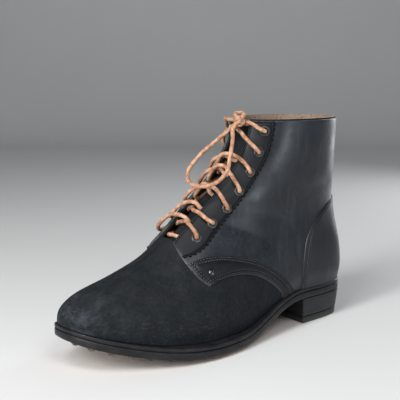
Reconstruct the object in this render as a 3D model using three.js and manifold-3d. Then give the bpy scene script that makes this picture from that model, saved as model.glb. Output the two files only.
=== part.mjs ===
// Left ankle boot of the hobnailed field type: blacked leather, open derby lacing, studded sole.
// Millimetres. x runs from the back of the heel to the toe, y to the boot's left, which is the
// outer side of a left boot, and z up from the floor. The group is shifted at the end, so that
// the origin lies on the floor under the middle of the heel.
import * as THREE from "three";
import { mergeGeometries, mergeVertices } from "three/addons/utils/BufferGeometryUtils.js";
import Module from "manifold-3d";

const wasm = await Module();
wasm.setup();

// Driving dimensions
const OUTER = 1;
const INNER = -1;
const GAP = 0.3;
const FEATHER_GAP = 0.5;
const WALL = 2.2;
const HEEL_CENTRE_X = 32;
const HEEL_BREAST_X = 67;
const HEEL_SEAT_Z = 23.5;
const WAIST_END_X = 152;
const TOE_SPRING_X = 171;
const TOE_SPRING_RADIUS = 315;
const TOP_PIECE_THICK = 6;
const OUTSOLE_THICK = 6;
const MIDSOLE_THICK = 3.2;
const INSOLE_THICK = 2.5;
const INSOLE_ROOM = 3.2;
const INSOLE_HALF = 30;
const STUD_HEIGHT = 3;
const STUD_RADIUS = 4.4;
const SOLE_TIP_X = 286;
const SOLE_TIP_Y = -8;
const UPPER_TIP_X = 285;
const THROAT_X = 190;
const COLLAR_Z = 182;
const THROAT_HALF_LOW = 11;
const THROAT_HALF_HIGH = 14;
// How much the inner side of the shaft is flattened towards the shin.
const SHIN_FLAT = 0.28;
const EYELET_ROWS = 7;
const EYELET_HALF_LOW = 22;
const EYELET_HALF_HIGH = 24.5;
const EYELET_LOW_Z = 90;
const EYELET_HIGH_Z = 173;
const EYELET_BORE = 2.2;
const EYELET_BARREL = 2.8;
const EYELET_FLANGE = 4.4;
const LACE = 3.4;
const LACE_ROOM = 5.2;
const UNDER_FACING = -WALL - 2.6;
const TONGUE_THICK = 2;
const TONGUE_FOOT_Z = 71;
const TONGUE_TOP_Z = 179;
const TONGUE_HALF_LOW = 19;
const TONGUE_HALF_HIGH = 33;
const KNOT_RADIUS = 5.2;
const RIVET_X = 175;
const RIVET_Z = 65;
// Where the spokes of the upper stand on the feather line, at the throat and at the collar.
const VAMP_FOOT_X = 172;
const FACING_FOOT_X = 166;
const COLLAR_FOOT_X = 78;

// Outsole outline, from the back of the heel along the outer side to the toe and back inside.
const SOLE_OUTLINE = [
  [0, 0], [4, 16.5], [14.5, 28], [34, 32.5], [63, 34], [97, 37.5], [130, 44.5], [157, 51],
  [184, 53.5], [215, 49.5], [244, 38], [270, 23], [281.5, 10], [SOLE_TIP_X, SOLE_TIP_Y],
  [281.5, -26], [261, -40.5], [227, -49.5], [198, -51], [176, -48.5], [150, -40.5], [123, -32],
  [97, -30], [63, -32], [34, -31.5], [14.5, -27], [4, -16.5],
];
// Side profile of the front of the upper, from the toe up the instep to the shin, as x, z.
const FRONT_PROFILE = [
  [UPPER_TIP_X, 36], [284.5, 41], [279.5, 48], [265, 56], [235, 65.5], [208, 76], [192, 88],
  [166, 112], [139, 137], [122, 163], [116, 185], [113, 215],
];
// Back of the upper, as z, x: it swells over the counter and draws in above it.
const BACK_PROFILE = [
  [24, 2], [33, 1], [45, -0.5], [58, 0], [72, 2], [90, 4], [105, 4.5], [135, 5], [160, 7],
  [200, 9.5],
];
// Hobnails: rings inside the outline, each from one x on the inner side round to the same x on
// the outer side, then the short middle line, the row at the waist and one nail before it.
const STUD_CENTRE = [198, 1];
const STUD_HALF = 51;
const STUD_RINGS = [
  { inset: 10, count: 21, from: 143 }, { inset: 21.5, count: 19, from: 145 },
  { inset: 34, count: 12, from: 164 },
];
const STUD_LOOSE = [
  [176, 3], [198, 3], [220, 3], [148, -18], [148, -7], [148, 4], [148, 15], [160, -3],
];
// Half width of the shaft, as z, y.
const SHAFT_PROFILE = [
  [20, 34], [60, 33], [95, 31], [120, 32], [150, 35], [182, 38], [200, 39.5],
];

const LEATHER = { color: 0x16171a, roughness: 0.55, metalness: 0 };
const SOLE_LEATHER = { color: 0xb99474, roughness: 0.75, metalness: 0 };
const STEEL = { color: 0x6d6a66, roughness: 0.45, metalness: 1 };
const LACE_LEATHER = { color: 0xcf9468, roughness: 0.7, metalness: 0 };

const boot = new THREE.Group();

function clamp(value, low, high) {
  return Math.min(high, Math.max(low, value));
}

function mix(a, b, t) {
  return a + (b - a) * t;
}

function smooth(low, high, value) {
  const t = clamp((value - low) / (high - low), 0, 1);
  return t * t * (3 - 2 * t);
}

// A smooth function through points whose first numbers only rise or only fall.
function through(points) {
  const samples = new THREE.SplineCurve(points.map(([a, b]) => new THREE.Vector2(a, b))).getPoints(400);
  if (samples[0].x > samples[400].x) samples.reverse();
  return (x) => {
    let i = 1;
    while (i < 400 && samples[i].x < x) i += 1;
    const [a, b] = [samples[i - 1], samples[i]];
    return mix(a.y, b.y, clamp((x - a.x) / (b.x - a.x), 0, 1));
  };
}

function solve(f, low, high) {
  // f is positive at low and negative at high
  for (let step = 0; step < 40; step += 1) {
    const middle = (low + high) / 2;
    if (f(middle) > 0) low = middle;
    else high = middle;
  }
  return (low + high) / 2;
}

// The form of the last

const soleCurve = new THREE.CatmullRomCurve3(
  SOLE_OUTLINE.map(([x, y]) => new THREE.Vector3(x, y, 0)), true, "centripetal");
const soleEdge = splitOutline(soleCurve.getPoints(1040));

function splitOutline(points) {
  const tip = points.reduce((best, p, i) => (p.x > points[best].x ? i : best), 0);
  return { [OUTER]: points.slice(0, tip + 1), [INNER]: points.slice(tip).reverse() };
}

function soleY(side, x) {
  const edge = soleEdge[side];
  let i = 1;
  while (i < edge.length - 1 && edge[i].x < x) i += 1;
  const [a, b] = [edge[i - 1], edge[i]];
  return mix(a.y, b.y, clamp((x - a.x) / (b.x - a.x), 0, 1));
}

const frontZ = through(FRONT_PROFILE);
const frontX = through(FRONT_PROFILE.map(([x, z]) => [z, x]));
const backX = through(BACK_PROFILE);
const shaftHalf = through(SHAFT_PROFILE);

// Underside of the outsole: heel seat, waist, tread on its studs, toe spring.
function soleZ(x) {
  const waist = (HEEL_SEAT_Z - STUD_HEIGHT) * (1 - smooth(HEEL_BREAST_X, WAIST_END_X, x));
  return STUD_HEIGHT + waist + Math.max(0, x - TOE_SPRING_X) ** 2 / (2 * TOE_SPRING_RADIUS);
}

function midsoleZ(x) {
  return soleZ(x) + OUTSOLE_THICK + GAP;
}

function featherZ(x) {
  return midsoleZ(x) + MIDSOLE_THICK + FEATHER_GAP;
}

// The line over toe and instep swings inwards towards the big toe.
function ridgeY(x) {
  return SOLE_TIP_Y * smooth(60, UPPER_TIP_X, x);
}

function lastHalf(side, x) {
  const onSole = x + (SOLE_TIP_X - UPPER_TIP_X) * smooth(180, UPPER_TIP_X, x);
  const margin = 1 - 0.1 * smooth(60, 170, x) + 0.05 * smooth(200, 275, x);
  return Math.max(0, side * (soleY(side, onSole) - ridgeY(x))) * margin;
}

function archTop(x) {
  return x > 160 ? frontZ(x) : frontZ(160) + 0.85 * (160 - x);
}

// Half width of the upper at a point of its side view. The foot part is an arch between feather
// and instep, lower on the outer side; the shaft part is an oval between back and shin.
function halfWidth(side, x, z) {
  const back = backX(z);
  if (x <= back) return 0;
  const feather = featherZ(x);
  const toe = smooth(195, 270, x);
  const rise = clamp((z - feather) / (archTop(x) - feather), 0, 1);
  const arch = (1 - rise ** mix(side === OUTER ? 1.4 : 1.7, 2.2, toe)) ** (1 / 2.1);
  const foot = lastHalf(side, x - back * (1 - smooth(40, 120, x))) * arch;
  const along = clamp((x - back) / (frontX(z) - back), 0, 1);
  const front = side === INNER ? smooth(0.5, 1, along) * smooth(105, 150, z) : 0;
  const oval = (1 - Math.abs(2 * along - 1) ** 2.3) ** (1 / 2.1);
  const shaft = shaftHalf(z) * oval * (1 - SHIN_FLAT * front);
  const tuck = 1 - 0.06 * (1 - smooth(0, 14, z - feather));
  return mix(foot, shaft, smooth(65, 130, z)) * tuck;
}

function onUpper(side, x, z) {
  return new THREE.Vector3(x, ridgeY(x) + side * halfWidth(side, x, z), z);
}

function upperNormal(side, x, z) {
  const h = 0.5;
  const alongX = onUpper(side, x + h, z).sub(onUpper(side, x - h, z));
  const alongZ = onUpper(side, x, z + h).sub(onUpper(side, x, z - h));
  return alongZ.cross(alongX).multiplyScalar(side).normalize();
}

// The x on the front of the shaft, at height z, where the upper is the given half width.
function frontEdgeX(side, z, half) {
  return solve((x) => halfWidth(side, x, z) - half, frontX(z) - 45, frontX(z));
}

function throatHalf(z) {
  return mix(THROAT_HALF_LOW, THROAT_HALF_HIGH, smooth(85, COLLAR_Z, z));
}

// Meshes

function patch(rows) {
  const positions = rows.flat().flatMap((p) => [p.x, p.y, p.z]);
  const index = [];
  const columns = rows[0].length;
  for (let i = 0; i + 1 < rows.length; i += 1) {
    for (let j = 0; j + 1 < columns; j += 1) {
      const a = i * columns + j;
      const b = a + columns;
      index.push(a, b, b + 1, a, b + 1, a + 1);
    }
  }
  return indexed(positions, index);
}

function indexed(positions, index) {
  const geometry = new THREE.BufferGeometry();
  geometry.setAttribute("position", new THREE.Float32BufferAttribute(positions, 3));
  geometry.setIndex(index);
  return geometry;
}

// Joins open patches along shared points and drops triangles that have shrunk to a line.
function weld(patches) {
  const merged = mergeVertices(mergeGeometries(patches), 1e-3);
  const kept = [];
  const index = merged.getIndex().array;
  for (let t = 0; t < index.length; t += 3) {
    const [a, b, c] = index.slice(t, t + 3);
    if (a !== b && b !== c && c !== a) kept.push(a, b, c);
  }
  merged.setIndex(kept);
  return merged;
}

// Closes an open surface into a solid between two copies of it.
function thicken(surface, nearFace, farFace) {
  surface.computeVertexNormals();
  const points = surface.getAttribute("position");
  const normals = surface.getAttribute("normal");
  const faces = [nearFace, farFace].map((place) => {
    const out = [];
    for (let i = 0; i < points.count; i += 1) {
      const p = new THREE.Vector3().fromBufferAttribute(points, i);
      const n = new THREE.Vector3().fromBufferAttribute(normals, i);
      out.push(...place(p, n).toArray());
    }
    return out;
  });
  const index = Array.from(surface.getIndex().array);
  const used = new Set();
  for (let t = 0; t < index.length; t += 3) {
    for (let k = 0; k < 3; k += 1) used.add(`${index[t + k]} ${index[t + ((k + 1) % 3)]}`);
  }
  const all = [...index];
  for (let t = 0; t < index.length; t += 3) {
    const [a, b, c] = index.slice(t, t + 3).map((i) => i + points.count);
    all.push(a, c, b);
  }
  for (const edge of used) {
    const [a, b] = edge.split(" ").map(Number);
    if (used.has(`${b} ${a}`)) continue;
    all.push(b, a, a + points.count, b, a + points.count, b + points.count);
  }
  return outward(weld([indexed(faces.flat(), all)]));
}

function outward(geometry) {
  const p = geometry.getAttribute("position");
  const index = Array.from(geometry.getIndex().array);
  const [a, b, c] = [new THREE.Vector3(), new THREE.Vector3(), new THREE.Vector3()];
  let volume = 0;
  for (let t = 0; t < index.length; t += 3) {
    a.fromBufferAttribute(p, index[t]);
    b.fromBufferAttribute(p, index[t + 1]);
    c.fromBufferAttribute(p, index[t + 2]);
    volume += a.dot(b.cross(c));
  }
  if (volume < 0) geometry.setIndex(index.reverse());
  return geometry;
}

function solid(geometry) {
  const bare = geometry.clone();
  bare.deleteAttribute("normal");
  bare.deleteAttribute("uv");
  const merged = mergeVertices(bare, 1e-4);
  return new wasm.Manifold(new wasm.Mesh({
    numProp: 3,
    vertProperties: new Float32Array(merged.getAttribute("position").array),
    triVerts: new Uint32Array(merged.getIndex().array),
  }));
}

function unsolid(manifold) {
  const mesh = manifold.getMesh();
  return indexed(Array.from(mesh.vertProperties), Array.from(mesh.triVerts));
}

function addPiece(name, geometry, look) {
  if (!geometry.getAttribute("normal")) geometry.computeVertexNormals();
  const mesh = new THREE.Mesh(geometry, new THREE.MeshStandardMaterial(look));
  mesh.name = name;
  boot.add(mesh);
  return mesh;
}

function tube(points, diameter, sides, steps) {
  const section = new THREE.Shape();
  for (let i = 0; i < sides; i += 1) {
    const turn = (i / sides) * 2 * Math.PI;
    const [x, y] = [Math.cos(turn) * diameter / 2, Math.sin(turn) * diameter / 2];
    if (i === 0) section.moveTo(x, y);
    else section.lineTo(x, y);
  }
  section.closePath();
  const path = new THREE.CatmullRomCurve3(points, false, "centripetal");
  return new THREE.ExtrudeGeometry(section, { steps, extrudePath: path, bevelEnabled: false });
}

// Upper: spokes fan round from the toe to the back, each from the feather to the top edge.
function spokes(side) {
  const list = [];
  const cornerZ = solve((z) => halfWidth(side, THROAT_X, z) - THROAT_HALF_LOW, 60, frontZ(THROAT_X));
  const spoke = (footX, topX, topZ, lift, lean) => list.push({ footX, topX, topZ, lift, lean });
  const vampSteps = 15;
  for (let i = 0; i < vampSteps; i += 1) {
    const t = (i / vampSteps) ** 1.7;
    const topX = mix(UPPER_TIP_X, THROAT_X, t);
    spoke(mix(UPPER_TIP_X, VAMP_FOOT_X, t), topX, frontZ(topX), 0, 0);
  }
  const baseSteps = 2;
  for (let i = 0; i < baseSteps; i += 1) {
    const half = THROAT_HALF_LOW * (i / baseSteps);
    const z = i === 0 ? frontZ(THROAT_X)
      : solve((level) => halfWidth(side, THROAT_X, level) - half, 60, frontZ(THROAT_X));
    spoke(mix(VAMP_FOOT_X, FACING_FOOT_X, i / baseSteps), THROAT_X, z, 0, 0);
  }
  const facingSteps = 10;
  for (let i = 0; i < facingSteps; i += 1) {
    const t = i / facingSteps;
    const z = mix(cornerZ, COLLAR_Z, t);
    const x = i === 0 ? THROAT_X : frontEdgeX(side, z, throatHalf(z));
    spoke(mix(FACING_FOOT_X, COLLAR_FOOT_X, t), x, z, smooth(0, 0.5, t), t);
  }
  const collarSteps = 9;
  const frontTop = frontEdgeX(side, COLLAR_Z, throatHalf(COLLAR_Z));
  for (let i = 0; i <= collarSteps; i += 1) {
    const t = 1 - (1 - i / collarSteps) ** 1.8;
    const footX = mix(COLLAR_FOOT_X, backX(featherZ(0)), t);
    spoke(footX, mix(frontTop, backX(COLLAR_Z), t), COLLAR_Z, 1, 1);
  }
  return list;
}

function upperSurface() {
  const rise = 10;
  const patches = [OUTER, INNER].map((side) => patch(spokes(side).map((s) => {
    const footZ = featherZ(s.footX);
    const row = [];
    for (let j = 0; j <= rise; j += 1) {
      const t = mix(Math.sin((j / rise) * Math.PI / 2), j / rise, s.lift);
      const z = mix(footZ, s.topZ, t);
      const curve = s.lean * (backX(z) - mix(backX(footZ), backX(s.topZ), t));
      row.push(onUpper(side, mix(s.footX, s.topX, t) + curve, z));
    }
    return side === OUTER ? row : row.reverse();
  })));
  return weld(patches);
}

function upperPiece() {
  const shell = thicken(upperSurface(), (p) => p, (p, n) => {
    const inside = p.clone().addScaledVector(n, -WALL);
    if (p.z < featherZ(p.x) + 0.01) inside.z = featherZ(inside.x);
    if (p.z > COLLAR_Z - 0.01) inside.z = p.z;
    return inside;
  });
  let upper = solid(shell);
  for (const { seat, normal } of eyelets) {
    const radius = EYELET_BARREL + GAP;
    const punch = new THREE.CylinderGeometry(radius, radius, 10, 8);
    upper = upper.subtract(solid(placeAlong(punch, seat, normal)));
  }
  return unsolid(upper);
}

function placeAlong(geometry, seat, normal) {
  const turn = new THREE.Quaternion().setFromUnitVectors(new THREE.Vector3(0, 1, 0), normal);
  return geometry.applyQuaternion(turn).translate(seat.x, seat.y, seat.z);
}

// Eyelets stand at an even pitch along a line set back from each facing edge.
function eyeletSeats() {
  const seats = [];
  for (const side of [OUTER, INNER]) {
    const line = new THREE.CatmullRomCurve3(Array.from({ length: 12 }, (_, i) => {
      const z = mix(EYELET_LOW_Z, EYELET_HIGH_Z, i / 11);
      const half = mix(EYELET_HALF_LOW, EYELET_HALF_HIGH, i / 11);
      return onUpper(side, frontEdgeX(side, z, half), z);
    }));
    for (let row = 0; row < EYELET_ROWS; row += 1) {
      const at = line.getPointAt(row / (EYELET_ROWS - 1));
      const seat = onUpper(side, at.x, at.z);
      seats.push({ side, row, seat, normal: upperNormal(side, at.x, at.z) });
    }
  }
  return seats;
}

const eyelets = eyeletSeats();

// Flat layers of the bottom

// Pairs of outer and inner edge points from the heel to the toe, closer together at both ends.
function edgePairs(halfAt, backEnd, frontEnd, steps) {
  return Array.from({ length: steps + 1 }, (_, i) => {
    const x = mix(backEnd, frontEnd, (1 - Math.cos((i / steps) * Math.PI)) / 2);
    return [OUTER, INNER].map((side) => new THREE.Vector3(x, halfAt(side, x), 0));
  });
}

function layer(pairs, lowZ, highZ) {
  const at = (height) => (p) => new THREE.Vector3(p.x, p.y, height(p.x));
  return thicken(weld([patch(pairs)]), at(highZ), at(lowZ));
}

const soleEdges = edgePairs(soleY, 0, SOLE_TIP_X, 36);

// The insole is the upper's own ground plan, drawn in from the wall on every side.
function insolePiece() {
  const back = backX(featherZ(0));
  const half = (side, x) => onUpper(side, x, featherZ(x)).y;
  const centreX = (back + UPPER_TIP_X) / 2;
  const shrinkX = 1 - INSOLE_ROOM / (UPPER_TIP_X - centreX);
  const shrinkY = 1 - INSOLE_ROOM / INSOLE_HALF;
  const edges = edgePairs(half, back, UPPER_TIP_X, 22).map((pair) => pair.map((p) => {
    const middle = ridgeY(p.x);
    return new THREE.Vector3(mix(centreX, p.x, shrinkX), mix(middle, p.y, shrinkY), 0);
  }));
  return layer(edges, featherZ, (x) => featherZ(x) + INSOLE_THICK);
}

function studSeats() {
  const [centreX, centreY] = STUD_CENTRE;
  const reach = SOLE_TIP_X - centreX;
  const seats = STUD_LOOSE.map(([x, y]) => new THREE.Vector3(x, y, 0));
  for (const { inset, count, from } of STUD_RINGS) {
    const ring = soleCurve.getPoints(400).map((p) => new THREE.Vector3(
      mix(centreX, p.x, 1 - inset / reach), mix(centreY, p.y, 1 - inset / STUD_HALF), 0));
    const line = new THREE.CatmullRomCurve3(ring.filter((p) => p.x > from));
    for (let i = 0; i < count; i += 1) seats.push(line.getPointAt(i / (count - 1)));
  }
  return seats;
}

function studSolid(x, y) {
  const profile = [
    [0, -1], [STUD_RADIUS, -1], [STUD_RADIUS * 0.95, 1], [STUD_RADIUS * 0.45, STUD_HEIGHT],
    [0, STUD_HEIGHT],
  ].map(([r, h]) => new THREE.Vector2(r, h));
  const slope = (soleZ(x + 1) - soleZ(x - 1)) / 2;
  const down = new THREE.Vector3(slope, 0, -1).normalize();
  return placeAlong(new THREE.LatheGeometry(profile, 6), new THREE.Vector3(x, y, soleZ(x)), down);
}

function outsolePiece() {
  let outsole = solid(layer(soleEdges, soleZ, (x) => soleZ(x) + OUTSOLE_THICK));
  for (const { x, y } of studSeats()) outsole = outsole.add(solid(studSolid(x, y)));
  return unsolid(outsole);
}

// Heel: lifts and top piece taper towards the floor, and the breast is slightly hollow.
function heelRing(z) {
  const taper = mix(0.92, 1, z / HEEL_SEAT_Z);
  const steps = 12;
  const ring = [];
  for (const side of [INNER, OUTER]) {
    for (let i = 0; i <= steps; i += 1) {
      const t = 1 - Math.cos(((side === INNER ? i : steps - i) / steps) * Math.PI / 2);
      const x = HEEL_BREAST_X * t;
      ring.push([x, soleY(side, x)]);
    }
    if (side === INNER) for (const y of [-20, 0, 20]) ring.push([HEEL_BREAST_X - 2 + y * y / 550, y]);
  }
  return ring.slice(0, -1).map(([x, y]) =>
    new THREE.Vector3(HEEL_CENTRE_X + (x - HEEL_CENTRE_X) * taper, y * taper, z));
}

function heelBlock(lowZ, highZ) {
  const rings = [heelRing(lowZ), heelRing(highZ)];
  const count = rings[0].length;
  const outline = rings[0].map((p) => new THREE.Vector2(p.x, p.y));
  const index = [];
  for (const [a, b, c] of THREE.ShapeUtils.triangulateShape(outline, [])) {
    index.push(c, b, a, a + count, b + count, c + count);
  }
  for (let i = 0; i < count; i += 1) {
    const next = (i + 1) % count;
    index.push(i, next, next + count, i, next + count, i + count);
  }
  return outward(indexed(rings.flat().flatMap((p) => p.toArray()), index));
}

// Tongue: rows square to the instep line, sewn in under the vamp, with room above for the lace.
const ridge = new THREE.SplineCurve(FRONT_PROFILE.map(([x, z]) => new THREE.Vector2(x, z)));

function ridgeAt(z) {
  const u = solve((t) => z - ridge.getPointAt(t).y, 0, 1);
  return { point: ridge.getPointAt(u), tangent: ridge.getTangentAt(u) };
}

// A point of the upper's surface, off the instep line by the given half width.
function besideRidge(side, z, half) {
  const { point, tangent } = ridgeAt(z);
  const away = new THREE.Vector2(-tangent.y, tangent.x);
  const reach = half === 0 ? 0
    : solve((r) => half - halfWidth(side, point.x + away.x * r, point.y + away.y * r), 0, 60);
  return onUpper(side, point.x + away.x * reach, point.y + away.y * reach);
}

function tonguePiece() {
  const rows = [];
  const steps = 13;
  const columns = 4;
  for (let i = 0; i <= steps; i += 1) {
    const z = mix(TONGUE_FOOT_Z, TONGUE_TOP_Z, i / steps);
    const half = mix(TONGUE_HALF_LOW, TONGUE_HALF_HIGH, smooth(80, 170, z));
    const row = [];
    for (let c = columns; c >= -columns; c -= 1) {
      row.push(besideRidge(c > 0 ? OUTER : INNER, z, half * Math.abs(c) / columns));
    }
    rows.push(row);
  }
  const depth = (z) => WALL + mix(1, LACE_ROOM, smooth(72, 88, z));
  return thicken(weld([patch(rows)]),
    (p, n) => p.clone().addScaledVector(n, -depth(p.z)),
    (p, n) => p.clone().addScaledVector(n, -depth(p.z) - TONGUE_THICK));
}

function eyeletPiece({ seat, normal }) {
  const profile = [
    [EYELET_BORE, -2.6], [EYELET_BARREL, -2.6], [EYELET_BARREL, 0.5], [EYELET_FLANGE, 0.5],
    [EYELET_FLANGE, 0.9], [EYELET_BORE, 1.4], [EYELET_BORE, -2.6],
  ].map(([r, h]) => new THREE.Vector2(r, h));
  return placeAlong(new THREE.LatheGeometry(profile, 8), seat, normal);
}

// Lacing: each crossing leaves both lower eyelets over the facings, meets in the middle and
// dives under the facings towards the next eyelets up.
function offSurface(side, z, half, height) {
  const at = besideRidge(side, z, half);
  if (half === 0) {
    const { tangent } = ridgeAt(z);
    return at.add(new THREE.Vector3(tangent.y, 0, -tangent.x).multiplyScalar(height));
  }
  return at.addScaledVector(upperNormal(side, at.x, at.z), height);
}

function crossingStrand(side, row) {
  const from = eyelets.find((e) => e.side === side && e.row === row);
  const to = eyelets.find((e) => e.side === side && e.row === row + 1);
  const rise = to.seat.z - from.seat.z;
  const lift = from.seat.z + 6;
  const half = throatHalf(from.seat.z);
  return tube([
    from.seat.clone().addScaledVector(from.normal, 2.2 + LACE / 2),
    offSurface(side, lift + rise * 0.2, half + 2, LACE / 2 + 1.6),
    offSurface(side, lift + rise * 0.45, 0, -1),
    offSurface(-side, lift + rise * 0.8, half - 1, UNDER_FACING),
    offSurface(-side, lift + rise * 0.95, half + 4, UNDER_FACING),
  ], LACE, 8, 6);
}

function crossingPiece(row) {
  return unsolid(solid(crossingStrand(OUTER, row)).add(solid(crossingStrand(INNER, row))));
}

function lowestBar() {
  const z = eyelets[0].seat.z;
  const half = throatHalf(z);
  const stops = [[OUTER, half + 5], [OUTER, half - 2], [OUTER, 0], [INNER, half - 2], [INNER, half + 5]];
  return tube(stops.map(([side, off]) => offSurface(side, z + 4, off, UNDER_FACING)), LACE, 8, 8);
}

// The knot sits before the top of the throat, drawn over to the outer side.
const knotCentre = new THREE.Vector3(124, 11, 181.5);

function towardsKnot(from, gap) {
  const away = from.clone().sub(knotCentre).normalize();
  return knotCentre.clone().addScaledVector(away, KNOT_RADIUS + gap);
}

function topRun(side) {
  const { seat, normal } = eyelets.find((e) => e.side === side && e.row === EYELET_ROWS - 1);
  const start = seat.clone().addScaledVector(normal, 2.2 + LACE / 2);
  const over = offSurface(side, COLLAR_Z - 2, 18, LACE / 2 + 2);
  return tube([start, over, towardsKnot(over, GAP + 0.7)], LACE, 8, 5);
}

function knotPiece() {
  return new THREE.SphereGeometry(KNOT_RADIUS, 10, 6).scale(1, 1, 0.95)
    .translate(...knotCentre.toArray());
}

// The bow: a long loop that hangs down in front of the lacing and a small one that stands up.
const LONG_LOOP = [
  [127, 3, 175], [132, -8, 165], [139, -19, 154], [149, -24, 141], [158, -15, 133], [163, 1, 130],
  [162, 14, 131], [157, 22, 135], [149, 24, 143], [142, 20, 154], [134, 14, 167], [130, 10, 176],
];
const SMALL_LOOP = [[125, 8, 186], [121, 3, 187.5], [117.5, 4, 188], [118, 9, 188], [121.5, 13.5, 187]];

function loopPiece(points, steps) {
  const route = points.map(([x, y, z]) => new THREE.Vector3(x, y, z));
  route[0] = towardsKnot(route[0], LACE / 2 + GAP);
  route[route.length - 1] = towardsKnot(route[route.length - 1], LACE / 2 + GAP);
  return tube(route, LACE, 8, steps);
}

// Domed rivets at the front corners of the side bands.
function rivetPiece(side) {
  const profile = [[0, 0.4], [2.8, 0.4], [2.4, 1.3], [0, 1.9]].map(([r, h]) => new THREE.Vector2(r, h));
  const seat = onUpper(side, RIVET_X, RIVET_Z);
  return placeAlong(new THREE.LatheGeometry(profile, 10), seat, upperNormal(side, RIVET_X, RIVET_Z));
}

addPiece("outsole", outsolePiece(), SOLE_LEATHER);
addPiece("midsole", layer(soleEdges, midsoleZ, (x) => midsoleZ(x) + MIDSOLE_THICK), LEATHER);
addPiece("insole", insolePiece(), SOLE_LEATHER);
addPiece("heel_lifts", heelBlock(TOP_PIECE_THICK + GAP, HEEL_SEAT_Z - GAP), LEATHER);
addPiece("heel_top_piece", heelBlock(0, TOP_PIECE_THICK), SOLE_LEATHER);
addPiece("upper", upperPiece(), LEATHER);
addPiece("tongue", tonguePiece(), LEATHER);
for (const eyelet of eyelets) {
  const name = `eyelet_${eyelet.side === OUTER ? "outer" : "inner"}_${eyelet.row + 1}`;
  addPiece(name, eyeletPiece(eyelet), STEEL);
}
for (let row = 0; row + 1 < EYELET_ROWS; row += 1) {
  addPiece(`lace_crossing_${row + 1}`, crossingPiece(row), LACE_LEATHER);
}

addPiece("lace_lowest_bar", lowestBar(), LACE_LEATHER);
addPiece("lace_top_outer", topRun(OUTER), LACE_LEATHER);
addPiece("lace_top_inner", topRun(INNER), LACE_LEATHER);
addPiece("bow_knot", knotPiece(), LACE_LEATHER);
addPiece("bow_long_loop", loopPiece(LONG_LOOP, 20), LACE_LEATHER);
addPiece("bow_small_loop", loopPiece(SMALL_LOOP, 8), LACE_LEATHER);
addPiece("rivet_outer", rivetPiece(OUTER), STEEL);
addPiece("rivet_inner", rivetPiece(INNER), STEEL);

boot.position.x = -HEEL_CENTRE_X;

export default boot;
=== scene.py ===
"""Hobnailed leather ankle boot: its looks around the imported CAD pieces."""

import math

import bmesh
import bpy
import numpy as np
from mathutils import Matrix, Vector


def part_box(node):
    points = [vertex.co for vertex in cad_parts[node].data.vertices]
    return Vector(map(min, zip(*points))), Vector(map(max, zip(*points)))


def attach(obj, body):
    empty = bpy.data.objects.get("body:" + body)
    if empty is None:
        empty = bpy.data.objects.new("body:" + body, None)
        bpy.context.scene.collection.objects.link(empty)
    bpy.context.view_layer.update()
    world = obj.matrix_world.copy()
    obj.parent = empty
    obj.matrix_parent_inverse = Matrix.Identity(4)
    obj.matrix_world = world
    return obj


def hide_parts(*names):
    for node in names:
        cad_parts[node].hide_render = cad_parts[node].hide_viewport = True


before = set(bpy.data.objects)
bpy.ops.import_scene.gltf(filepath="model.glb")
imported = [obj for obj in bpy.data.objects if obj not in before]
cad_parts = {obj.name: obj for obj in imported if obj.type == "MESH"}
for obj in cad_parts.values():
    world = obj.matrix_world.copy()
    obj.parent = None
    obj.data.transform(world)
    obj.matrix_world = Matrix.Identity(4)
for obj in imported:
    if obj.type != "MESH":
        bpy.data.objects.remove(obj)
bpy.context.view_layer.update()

# ---------------------------------------------------------------- sizes, in millimetres
# Points are held as in the CAD source: x from the back of the heel to the toe, y to the outer
# side, z up from the floor. build() turns them into the frame, whose origin is under the heel.

MM = 0.001
OUTER, INNER = 1, -1
SIDE_NAMES = {OUTER: "outer", INNER: "inner"}
HEEL_CENTRE_X = 32.0
HEEL_BREAST_X = 67.0
HEEL_SEAT_Z = 23.5
TOP_PIECE_THICK = 6.0
WAIST_END_X = 152.0
TOE_SPRING_X = 171.0
TOE_SPRING_RADIUS = 315.0
GAP = 0.3
FEATHER_GAP = 0.5
OUTSOLE_THICK = 6.0
MIDSOLE_THICK = 3.2
INSOLE_THICK = 2.5
WALL = 2.2
STUD_HEIGHT = 3.0
STUD_RADIUS = 4.4
SOLE_TIP_X, SOLE_TIP_Y = 286.0, -8.0
UPPER_TIP_X = 285.0
VAMP_FOOT_X = 172.0
FACING_FOOT_X = 167.0
COLLAR_FOOT_X = 78.0
THROAT_X = 190.0
THROAT_HALF_LOW, THROAT_HALF_HIGH = 11.0, 14.0
THROAT_LOW_Z = 85.0
COLLAR_Z = 182.0
SHIN_FLAT = 0.28
QUARTER_FOOT_Z = 30.5
COUNTER_FOOT_Z, COUNTER_TOP_Z = 30.0, 110.0
LACE = 3.4
TONGUE_FOOT_Z, TONGUE_TOP_Z = 71.0, 179.0
TONGUE_HALF_LOW, TONGUE_HALF_HIGH = 19.0, 33.0
TONGUE_THICK = 2.0
INSOLE_ROOM = 2.8
EYELET_ROWS = 7
EYELET_HOLE = 2.7
RIVET_AT = (175.0, 65.0)

# Heights of the layers of leather over the form of the last.
VAMP_LIFT = -0.3
QUARTER_LIFT = 0.6
OVERLAY_LIFT = 1.4
BURIED = -0.9

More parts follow.
